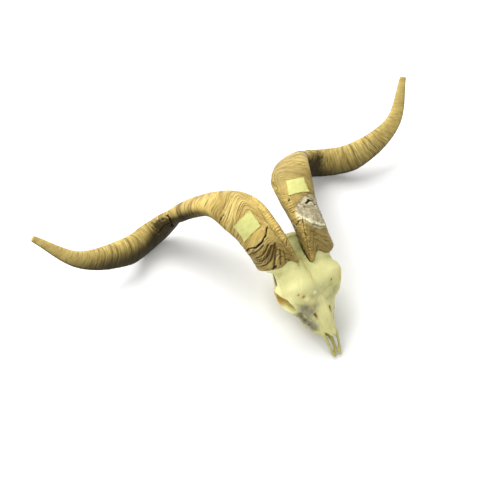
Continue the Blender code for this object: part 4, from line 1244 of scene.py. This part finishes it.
bend_skull(bone)
lay_down(bone)
smooth_look(bone)
print("bone box:", [round(value, 3) for value in points_of(bone).min(0)])

# %% [markdown]
# ## Cheek teeth
#
# A goat has three premolars and three molars on each side of the upper jaw and no upper front
# teeth. The crowns are cut-off columns with ribs on the cheek side and crescents of enamel on
# the worn top. Each of the twelve is a rolled grid that one rule shapes to its own length, width
# and height along the jaw.

# %% One crown
TOOTH_ROOT = 9.0
CROWN_COLUMNS = 64
CROWN_RINGS = [(-TOOTH_ROOT, 0.0), (-TOOTH_ROOT, 0.86), (0.0, 0.88), (0.25, 0.95), (0.55, 1.0),
               (0.8, 0.99), (0.93, 0.95), (1.0, 0.88)]
CROWN_RINGS = np.array(CROWN_RINGS + [(1.0, share / 100) for share in range(80, -1, -8)])
CROWN_HALF_LENGTH, CROWN_HALF_WIDTH, CROWN_SQUARENESS = 0.51, 0.48, 0.6
ENAMEL_RIM, ENAMEL_WIDTH = 0.84, 0.09
RIB_DEPTH, TONGUE_NOTCH = 0.13, 0.20
CREST_HEIGHT, HOLLOW_DEPTH = 0.9, 1.3
LOBES = {1: [(0.0, 0.34)], 2: [(-0.24, 0.19), (0.24, 0.19)]}


def make_crown(name, middle, ahead, across, length, width, height, lobes):
    """One crown; its cheek side has ribs and each lobe of its worn top a dark crescent."""
    values_here = {}

    def surface(angle, row):
        level, share = CROWN_RINGS[row].T
        c, s = np.cos(angle), np.sin(angle)
        square = 1.0 / np.maximum(np.abs(c), np.abs(s)) ** CROWN_SQUARENESS
        cheek_side, tongue_side = step_up(0.2, 0.9, s), step_up(0.2, 0.9, -s)
        ribs = 1 + RIB_DEPTH * cheek_side * np.cos(2 * math.pi * lobes * (c * 0.5 + 0.5))
        ribs -= TONGUE_NOTCH * tongue_side * bump(c, 0, 0.20) * (lobes > 1)
        out_x = c * square * CROWN_HALF_LENGTH * share
        out_y = s * square * CROWN_HALF_WIDTH * share * ribs
        pit = np.zeros(len(row))
        enamel = bump(share, ENAMEL_RIM, ENAMEL_WIDTH)
        for lobe, reach in LOBES[lobes]:
            t = (out_x - lobe) / reach
            off_curve = out_y + 0.10 - 0.26 * t ** 2
            within = 1 - step_up(0.75, 1.05, np.abs(t))
            pit = np.maximum(pit, bump(off_curve, 0, 0.055) * within)
            enamel = np.maximum(enamel, bump(np.abs(off_curve), 0.12, 0.045) * within)
        worn = (level >= 1.0).astype(float)
        top = height * (1 - level) + worn * (CREST_HEIGHT * (1 - enamel) + HOLLOW_DEPTH * pit)
        up = np.where(level < 0, height - level, top)
        values_here.update(worn=worn, pit=pit * worn, enamel=enamel * worn,
                           level=np.maximum(level, 0))
        flat = middle + np.outer(out_x * length, ahead) + np.outer(out_y * width, across)
        return np.column_stack([flat, up])

    obj = rolled_grid(name, CROWN_COLUMNS, len(CROWN_RINGS) - 1, surface)
    keep_values(obj, **values_here)
    merge_shut(obj)
    return obj


print("a crown has", len(CROWN_RINGS), "rings")

# %% Make the teeth
CHEEK_TEETH = [(8, 7, 9), (9, 9, 10), (10, 10, 10), (13, 12, 10), (15, 13, 11), (16, 12, 11)]
PREMOLARS = 3
TOOTH_ROW_FRONT = np.array([13.5, 61.0])
TOOTH_ROW_BACK = np.array([27.0, 130.0])

row_run = TOOTH_ROW_BACK - TOOTH_ROW_FRONT
ahead = unit(row_run)
stretch = np.linalg.norm(row_run) / sum(size[0] for size in CHEEK_TEETH)
crowns = []
for side_name, side in SIDES.items():
    flip = np.array([side, 1])
    travelled = 0.0
    for number, (length, width, height) in enumerate(CHEEK_TEETH):
        length *= stretch
        middle = TOOTH_ROW_FRONT + ahead * (travelled + length / 2)
        travelled += length
        crowns.append(make_crown(f"crown_{side_name}_{number + 1}", middle * flip, ahead * flip,
                                 np.array([ahead[1], -ahead[0]]) * flip, length, width, height,
                                 1 if number < PREMOLARS else 2))
select_only(crowns[0])
for crown in crowns:
    crown.select_set(True)
bpy.ops.object.join()
teeth = crowns[0]
teeth.name = "cheek_teeth"
bend_skull(teeth)
lay_down(teeth)
smooth_look(teeth, 50)
print("teeth:", len(teeth.data.polygons), "faces")

# %% [markdown]
# ## Materials: helpers and shared effects
#
# A material is a small net of nodes, and the helpers add to the net that the name tree stands
# for. Two effects are used on bone, horn, teeth and paper alike, so each is a node group: soft
# mottling in two sizes, and fine pits that feed a Bump node. Every pattern reads the piece's own
# Object coordinates or the values kept on its mesh, so it stays in place when the piece is
# turned.

# %% Node helpers
def add_node(kind, inputs=None, **settings):
    """Adds a node to the net named tree, sets its fields, and links or sets its inputs."""
    node = tree.nodes.new(kind)
    for key, value in settings.items():
        setattr(node, key, value)
    for key, value in (inputs or {}).items():
        if isinstance(value, bpy.types.NodeSocket):
            tree.links.new(value, node.inputs[key])
        else:
            node.inputs[key].default_value = value
    return node


def calc(operation, a, b=0.0, clamp=False):
    node = add_node("ShaderNodeMath", {0: a, 1: b}, operation=operation, use_clamp=clamp)
    return node.outputs[0]


def times(value, *others):
    for other in others:
        value = calc("MULTIPLY", value, other)
    return value


def ramp(value, low, high, to_low=0.0, to_high=1.0):
    """A smooth change from to_low to to_high while the value goes from low to high."""
    inputs = {"Value": value, "From Min": low, "From Max": high, "To Min": to_low,
              "To Max": to_high}
    return add_node("ShaderNodeMapRange", inputs, interpolation_type="SMOOTHSTEP").outputs[0]


def mix(share, a, b):
    """Colour a where the share is 0 and colour b where it is 1."""
    inputs = {0: share}
    for slot, colour in ((6, a), (7, b)):
        inputs[slot] = colour if isinstance(colour, bpy.types.NodeSocket) else (*colour, 1.0)
    return add_node("ShaderNodeMix", inputs, data_type="RGBA").outputs[2]


def painted(colour, *layers):
    """A ground colour with layers of (share, colour) painted over it, one after the other."""
    for share, paint in layers:
        colour = mix(share, colour, paint)
    return colour


def kept(name, output="Fac"):
    return add_node("ShaderNodeAttribute", attribute_name=name).outputs[output]


print("node helpers ready")

# %% Noise, groups and whole materials
def clouds(vector, scale, detail=3.0, roughness=0.55):
    inputs = {"Vector": vector, "Scale": scale, "Detail": detail, "Roughness": roughness}
    return add_node("ShaderNodeTexNoise", inputs).outputs[0]


def streaks(vector, stretch, detail=3.0, roughness=0.6):
    """Clouds drawn out into streaks by a different scale along each axis."""
    mapped = add_node("ShaderNodeMapping", {"Vector": vector, "Scale": stretch}).outputs[0]
    return clouds(mapped, 1.0, detail, roughness)


def new_group(name, inputs, outputs):
    """A node group with its sockets; gives back the group, what it gets and what it puts out."""
    group = bpy.data.node_groups.new(name, "ShaderNodeTree")
    for in_out, sockets in (("INPUT", inputs), ("OUTPUT", outputs)):
        for socket, kind in sockets.items():
            group.interface.new_socket(socket, in_out=in_out, socket_type="NodeSocket" + kind)
    entry, exit_node = group.nodes.new("NodeGroupInput"), group.nodes.new("NodeGroupOutput")
    return group, entry.outputs, exit_node.inputs


def place_group(group, **inputs):
    return add_node("ShaderNodeGroup", inputs, node_tree=group).outputs


def new_material(name):
    made = bpy.data.materials.new(name)
    made.use_nodes = True
    net = made.node_tree
    where = net.nodes.new("ShaderNodeTexCoord").outputs["Object"]
    return made, net, net.nodes["Principled BSDF"], where


print("materials so far:", len(bpy.data.materials))

# %% Shared groups: mottling and pits
SMALL_PER_WIDE = 5.3
WIDE_SHARE, SMALL_SHARE = 0.62, 0.38
PIT_DEPTH = 0.8

tree, got, out = new_group("mottling", {"Where": "Vector", "Size": "Float", "Contrast": "Float"},
                           {"Cover": "Float"})
mottle_group = tree
wide_clouds = clouds(got["Where"], got["Size"], 2.0)
small_clouds = clouds(got["Where"], times(got["Size"], SMALL_PER_WIDE), 4.0, 0.65)
both = calc("ADD", times(wide_clouds, WIDE_SHARE), times(small_clouds, SMALL_SHARE))
spread = times(calc("SUBTRACT", both, 0.5), got["Contrast"])
tree.links.new(calc("ADD", spread, 0.5, clamp=True), out["Cover"])

tree, got, out = new_group("fine_pits", {"Where": "Vector", "Size": "Float", "Depth": "Float"},
                           {"Height": "Float", "Pits": "Float"})
pit_group = tree
grains = clouds(got["Where"], got["Size"], 4.0, 0.7)
cells = add_node("ShaderNodeTexVoronoi", {"Vector": got["Where"], "Scale": got["Size"]})
rare = ramp(clouds(got["Where"], times(got["Size"], 0.21)), 0.5, 0.62)
pits = times(ramp(cells.outputs["Distance"], 0.12, 0.30, 1.0, 0.0), rare)
sunk = calc("SUBTRACT", grains, times(pits, PIT_DEPTH))
tree.links.new(times(sunk, got["Depth"]), out["Height"])
tree.links.new(pits, out["Pits"])


def mottling(where, size, contrast):
    return place_group(mottle_group, Where=where, Size=size, Contrast=contrast)["Cover"]


def fine_pits(where, size, depth=1.0):
    return place_group(pit_group, Where=where, Size=size, Depth=depth)


print("groups:", mottle_group.name, pit_group.name)

# %% Finish a material and give it to its pieces
def finish_surface(shader, colour, roughness, height, strength, distance):
    tree.links.new(colour, shader.inputs["Base Color"])
    tree.links.new(roughness, shader.inputs["Roughness"])
    inputs = {"Height": height, "Strength": strength, "Distance": distance}
    relief = add_node("ShaderNodeBump", inputs)
    tree.links.new(relief.outputs[0], shader.inputs["Normal"])


def give_look(look, *pieces):
    for piece in pieces:
        piece.data.materials.clear()
        piece.data.materials.append(look)
    print(look.name, len(look.node_tree.nodes), "nodes, on", [piece.name for piece in pieces])


print("finishing helpers ready")

# %% [markdown]
# ## Bone
#
# Dry bone is cream with a yellow-green tint. The stains, painted shade and painted highlights
# kept on the mesh are mixed over it one by one, each broken up by mottling, and painted shade
# deepens where a point is sheltered. A suture's distance is shaken by a fine noise before it
# becomes a line, which gives the serrated seam that real sutures have.

# %% Bone material
BONE_PAINTS = {
    "cream": (0.715, 0.695, 0.305), "old cream": (0.555, 0.53, 0.20), "tan": (0.50, 0.43, 0.17),
    "recess_shade": (0.20, 0.12, 0.04), "streak": (0.60, 0.56, 0.36), "seam": (0.26, 0.16, 0.045),
    "pit": (0.30, 0.22, 0.10),
}
# Paints for the stains, for the painted shade mixed into some of them, and for the painted
# highlights.
STAIN_AND_LIGHT_PAINTS = [
    ("olive", (0.35, 0.31, 0.06), 0.90), ("green_and_shade", (0.25, 0.27, 0.075), 0.85),
    ("grey_and_shade", (0.160, 0.150, 0.090), 0.95), ("rust", (0.60, 0.34, 0.055), 0.90),
    ("painted_highlight", (0.95, 0.91, 0.43), 0.85), ("dark_and_shade", (0.06, 0.026, 0.010), 0.95),
]
SEAM_SHAKE, SEAM_DEPTH = 3.6, 0.6

bone_look, tree, shader, where = new_material("bone_look")
paint = BONE_PAINTS
cover = mottling(where, 38.0, 1.5)
fine = mottling(where, 160.0, 1.7)
pit = fine_pits(where, 620.0)
broken = ramp(fine, 0.10, 0.70, 0.60, 1.0)
long_streaks = streaks(where, (230.0, 45.0, 200.0), 4.0, 0.65)
grey_streaks = times(ramp(long_streaks, 0.52, 0.66), kept("grey_and_shade"), 0.45)
shake = times(calc("SUBTRACT", clouds(where, 420.0, 2.0), 0.5), SEAM_SHAKE)
seam = calc("ABSOLUTE", calc("ADD", kept("suture"), shake))
seam = times(ramp(seam, 0.10, 0.75, 1.0, 0.0), ramp(cover, 0.1, 0.6, 0.55, 1.0),
             kept("seam_strength"))
stain_and_light_layers = [(times(kept(stain_and_light), broken, strength), stain_and_light_paint)
                for stain_and_light, stain_and_light_paint, strength in STAIN_AND_LIGHT_PAINTS]
colour = painted(
    mix(cover, paint["cream"], paint["old cream"]),
    (ramp(fine, 0.55, 0.9, 0.0, 0.45), paint["tan"]),
    # Painted shade, deeper where a point is more sheltered.
    (ramp(kept("sheltered"), 0.32, 0.95, 0.0, 0.85), paint["recess_shade"]),
    *stain_and_light_layers,
    (grey_streaks, paint["streak"]),
    (times(seam, 0.85), paint["seam"]),
    (times(pit["Pits"], 0.5), paint["pit"]))
height = calc("SUBTRACT", pit["Height"], times(seam, SEAM_DEPTH))
finish_surface(shader, colour, ramp(fine, 0.0, 1.0, 0.48, 0.72), height,
               strength=0.45, distance=0.0005)
give_look(bone_look, bone)

# %% [markdown]
# ## Horn
#
# Horn is brown keratin laid down in layers. Its fine lines follow the growth measure kept on
# the mesh, so they run round the horn, turn beside the keel and fan out at the base, as the
# relief does. The measure is stretched against the section, which turns a plain noise into
# long fibres. Cracks are painted near black as shade, the chipped patch is pale grey and beige,
# and the tip is smooth and dark. Painted shade also darkens the grooves, the inside of the cup,
# the pinched zone, the side turned away from the light and the left horn's middle, and a
# painted pool of light brightens the right horn's base.

# %% Horn material
# The paints for grooves, undersides, cracks and the cup are painted shade, and the plate paint is
# partly painted shade.
HORN_PAINTS = {
    "amber": (0.58, 0.425, 0.116), "brown": (0.47, 0.33, 0.085), "straw": (0.74, 0.60, 0.22),
    "umber": (0.30, 0.175, 0.040), "outer": (0.47, 0.37, 0.105), "line": (0.13, 0.070, 0.016),
    "thin line": (0.14, 0.080, 0.020), "light line": (0.86, 0.71, 0.30),
    "aged": (0.26, 0.185, 0.060), "tip": (0.36, 0.27, 0.095), "keel": (0.72, 0.52, 0.15),
    "plate_and_shade": (0.22, 0.165, 0.048), "flake": (0.56, 0.51, 0.35),
    "grey flake": (0.34, 0.295, 0.175), "rusty flake": (0.55, 0.38, 0.14),
    "flake edge": (0.25, 0.17, 0.08), "fringe": (0.95, 0.89, 0.57),
    "groove_shade": (0.085, 0.046, 0.013), "under": (0.016, 0.012, 0.003),
    "crack": (0.010, 0.006, 0.003), "cup": (0.10, 0.06, 0.02),
}
PIT_SHARE, LINE_DEPTH, THIN_DEPTH = 0.35, 0.7, 0.5
HORN_GLOSS = 0.12

horn_look, tree, shader, where = new_material("horn_look")
shader.inputs["Specular IOR Level"].default_value = HORN_GLOSS
paint = HORN_PAINTS
grain, place = kept("grain", "Vector"), kept("place")
long_lines = streaks(grain, (0.50, 0.012, 0.012))
fine_lines = streaks(grain, (1.30, 0.030, 0.030))
bands = streaks(grain, (0.085, 0.010, 0.010), 2.0, 0.55)
cover = mottling(where, 26.0, 1.8)
spots = mottling(where, 95.0, 1.9)
pit = fine_pits(where, 420.0)
tip = ramp(place, 0.76, 0.96)
loud = ramp(kept("quiet"), 0.0, 1.0, 1.0, 0.15)
lines = times(ramp(long_lines, 0.51, 0.59), ramp(place, 0.42, 0.60, 0.82, 0.50),
              ramp(spots, 0.15, 0.60, 0.45, 1.0), loud)
thin = times(ramp(fine_lines, 0.51, 0.61), ramp(tip, 0.0, 1.0, 0.58, 0.35), loud)
light = times(ramp(fine_lines, 0.46, 0.36), ramp(tip, 0.0, 1.0, 0.55, 0.30), loud)
aged = times(ramp(place, 0.19, 0.09, 0.0, 0.24), ramp(spots, 0.25, 0.75, 1.0, 0.5))
keel_cover = times(kept("keel"), ramp(spots, 0.3, 0.6, 0.40, 0.90))
plate_and_shade = times(kept("plate_and_shade"), ramp(spots, 0.2, 0.8, 0.75, 0.40))
scales = add_node("ShaderNodeTexVoronoi", {"Vector": where, "Scale": 150.0},
                  feature="DISTANCE_TO_EDGE")
scale_edges = times(ramp(scales.outputs["Distance"], 0.02, 0.10, 0.35, 0.0), ramp(spots, 0.3, 0.6))
flakes = painted(
    mix(ramp(spots, 0.35, 0.65), paint["flake"], paint["grey flake"]),
    (ramp(cover, 0.50, 0.72, 0.0, 0.75), paint["rusty flake"]),
    (scale_edges, paint["flake edge"]))
# Pale torn edges and fringe, together with the painted pool of light on the right horn's base.
pale_edge_and_light = calc("MAXIMUM", times(kept("torn_and_lit"), 0.25), kept("fringe"))
# Painted shade on the side turned away from the light, stronger on the outer half, and painted
# shadow in the pinched zone.
under = times(kept("under"), ramp(place, 0.25, 0.48, 0.25, 0.95))
under = calc("MAXIMUM", under, times(kept("pinch_shade"), 0.90))
# Painted shade darkens the grooves, the side turned away from the light, the pinched zone, the
# cracks, the inside of the cup and the left horn's middle; a painted pool of light brightens the
# right horn's base.
colour = painted(
    mix(ramp(bands, 0.38, 0.62), paint["amber"], paint["brown"]),
    (ramp(cover, 0.45, 0.85, 0.0, 0.55), paint["straw"]),
    (ramp(spots, 0.55, 0.85, 0.0, 0.45), paint["umber"]),
    (ramp(place, 0.42, 0.60, 0.0, 0.55), paint["outer"]),
    (lines, paint["line"]), (thin, paint["thin line"]), (light, paint["light line"]),
    (aged, paint["aged"]), (times(tip, 0.45), paint["tip"]),
    (keel_cover, paint["keel"]), (plate_and_shade, paint["plate_and_shade"]),
    (times(kept("chip"), 0.94), flakes), (times(pale_edge_and_light, 0.92), paint["fringe"]),
    (ramp(kept("groove_shade"), 0.15, 0.90, 0.0, 0.86), paint["groove_shade"]), (under, paint["under"]),
    (ramp(kept("cut"), 0.25, 0.70, 0.0, 0.98), paint["crack"]), (kept("cup"), paint["cup"]))
height = calc("SUBTRACT", times(pit["Height"], PIT_SHARE), times(lines, LINE_DEPTH))
height = calc("SUBTRACT", height, times(thin, THIN_DEPTH))
finish_surface(shader, colour, ramp(long_lines, 0.3, 0.7, 0.45, 0.66), height,
               strength=0.8, distance=0.0011)
give_look(horn_look, *sheaths.values())

# %% [markdown]
# ## Paper and teeth
#
# The labels are old sticky paper, pale yellow, a little darker towards the edges, with short
# fibres. The teeth are cream enamel with brown tartar low on the crown and dark hollows
# between the enamel crests of the worn top.

# %% Paper material
PAPER_PAINTS = {
    "pale": (0.57, 0.57, 0.20), "yellow": (0.43, 0.425, 0.13), "crease": (0.38, 0.37, 0.11),
    "fibre": (0.44, 0.42, 0.12), "edge": (0.46, 0.40, 0.12),
}
CREASE_HEIGHT = 3.0

paper_look, tree, shader, where = new_material("paper_look")
paint = PAPER_PAINTS
fibre = streaks(where, (900.0, 300.0, 900.0), 4.0, 0.7)
creases = streaks(where, (70.0, 160.0, 120.0))
pit = fine_pits(where, 900.0, 0.6)
colour = painted(
    mix(mottling(where, 60.0, 1.2), paint["pale"], paint["yellow"]),
    (ramp(creases, 0.54, 0.62, 0.0, 0.40), paint["crease"]),
    (ramp(fibre, 0.52, 0.66, 0.0, 0.35), paint["fibre"]),
    (ramp(kept("edge"), 0.86, 1.0, 0.0, 0.45), paint["edge"]))
height = calc("ADD", pit["Height"], times(creases, CREASE_HEIGHT))
finish_surface(shader, colour, ramp(fibre, 0.3, 0.7, 0.70, 0.85), height,
               strength=0.5, distance=0.0004)
give_look(paper_look, *labels.values())

# %% Tooth material
TOOTH_PAINTS = {
    "enamel": (0.70, 0.63, 0.36), "old enamel": (0.47, 0.37, 0.16), "tartar": (0.32, 0.20, 0.07),
    "gum": (0.26, 0.155, 0.05), "dentine": (0.40, 0.27, 0.10), "hollow": (0.05, 0.025, 0.010),
}

tooth_look, tree, shader, where = new_material("tooth_look")
paint = TOOTH_PAINTS
cover = mottling(where, 90.0, 1.6)
pit = fine_pits(where, 900.0, 0.5)
upright = streaks(where, (420.0, 420.0, 60.0))
dentine = calc("SUBTRACT", kept("worn"), kept("enamel"), clamp=True)
colour = painted(
    mix(cover, paint["enamel"], paint["old enamel"]),
    (ramp(upright, 0.50, 0.66, 0.0, 0.6), paint["tartar"]),
    (times(ramp(kept("level"), 0.65, 0.05), ramp(cover, 0.2, 0.8, 0.9, 0.4)), paint["gum"]),
    (times(dentine, 0.7), paint["dentine"]),
    (kept("pit"), paint["hollow"]))
finish_surface(shader, colour, ramp(cover, 0.0, 1.0, 0.25, 0.45), pit["Height"],
               strength=0.3, distance=0.0003)
give_look(tooth_look, teeth)

# %% [markdown]
# ## Floor and light
#
# A plain pale floor and soft studio light keep all attention on the skull. The main light is a
# wide panel high behind the skull, so the tops of the horns are bright and their undersides
# dark, and two weaker panels and a pale sky fill the shadows.

# %% Floor, lamps and sky
FLOOR_SIZE, FLOOR_DROP = 12.0, 0.0003

bpy.ops.object.select_all(action="DESELECT")
bpy.ops.mesh.primitive_plane_add(size=FLOOR_SIZE, location=(0, 0, -FLOOR_DROP))
floor = bpy.context.object
floor.name = "floor"
floor_look, tree, shader, where = new_material("floor_look")
shader.inputs["Base Color"].default_value = (0.90, 0.90, 0.89, 1.0)
shader.inputs["Roughness"].default_value = 0.9
floor.data.materials.append(floor_look)


def panel(name, location, target, size, power):
    lamp = bpy.data.lights.new(name, "AREA")
    lamp.shape = "SQUARE"
    lamp.size = size
    lamp.energy = power
    holder = bpy.data.objects.new(name, lamp)
    holder.location = location
    holder.rotation_euler = (Vector(target) - Vector(location)).to_track_quat("-Z", "Y").to_euler()
    bpy.context.scene.collection.objects.link(holder)
    print(name, power, "W")


panel("key_light", (-0.10, 1.45, 1.50), (0, 0.05, 0.05), 1.7, 68.0)
panel("side_light", (-1.5, -0.3, 1.3), (0, 0, 0.05), 1.0, 12.0)
panel("front_light", (0.6, -1.4, 1.5), (0, 0, 0.05), 1.0, 9.0)
world = bpy.data.worlds.new("pale_sky")
bpy.context.scene.world = world
world.use_nodes = True
world.node_tree.nodes["Background"].inputs["Color"].default_value = (1.0, 1.0, 1.0, 1.0)
world.node_tree.nodes["Background"].inputs["Strength"].default_value = 0.42
bpy.context.scene.view_settings.view_transform = "Standard"

# %% [markdown]
# ## Hand the pieces to the imported model
#
# Every piece rides on the skull's one body and stands for the imported solid that it refines.

# %% Replace the imported nodes
hand_over = [(bone, ["cranium"], "bone"), (teeth, ["cranium"], "bone")]
for side_name in SIDES:
    hand_over.append((sheaths[side_name], ["horn_" + side_name], "horn"))
    hand_over.append((labels[side_name], ["label_" + side_name], "paper"))
for piece, nodes, slot in hand_over:
    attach(piece, "root")
    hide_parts(*nodes)
for home in (bone_pieces, bone_cuts):
    bpy.data.collections.remove(home)
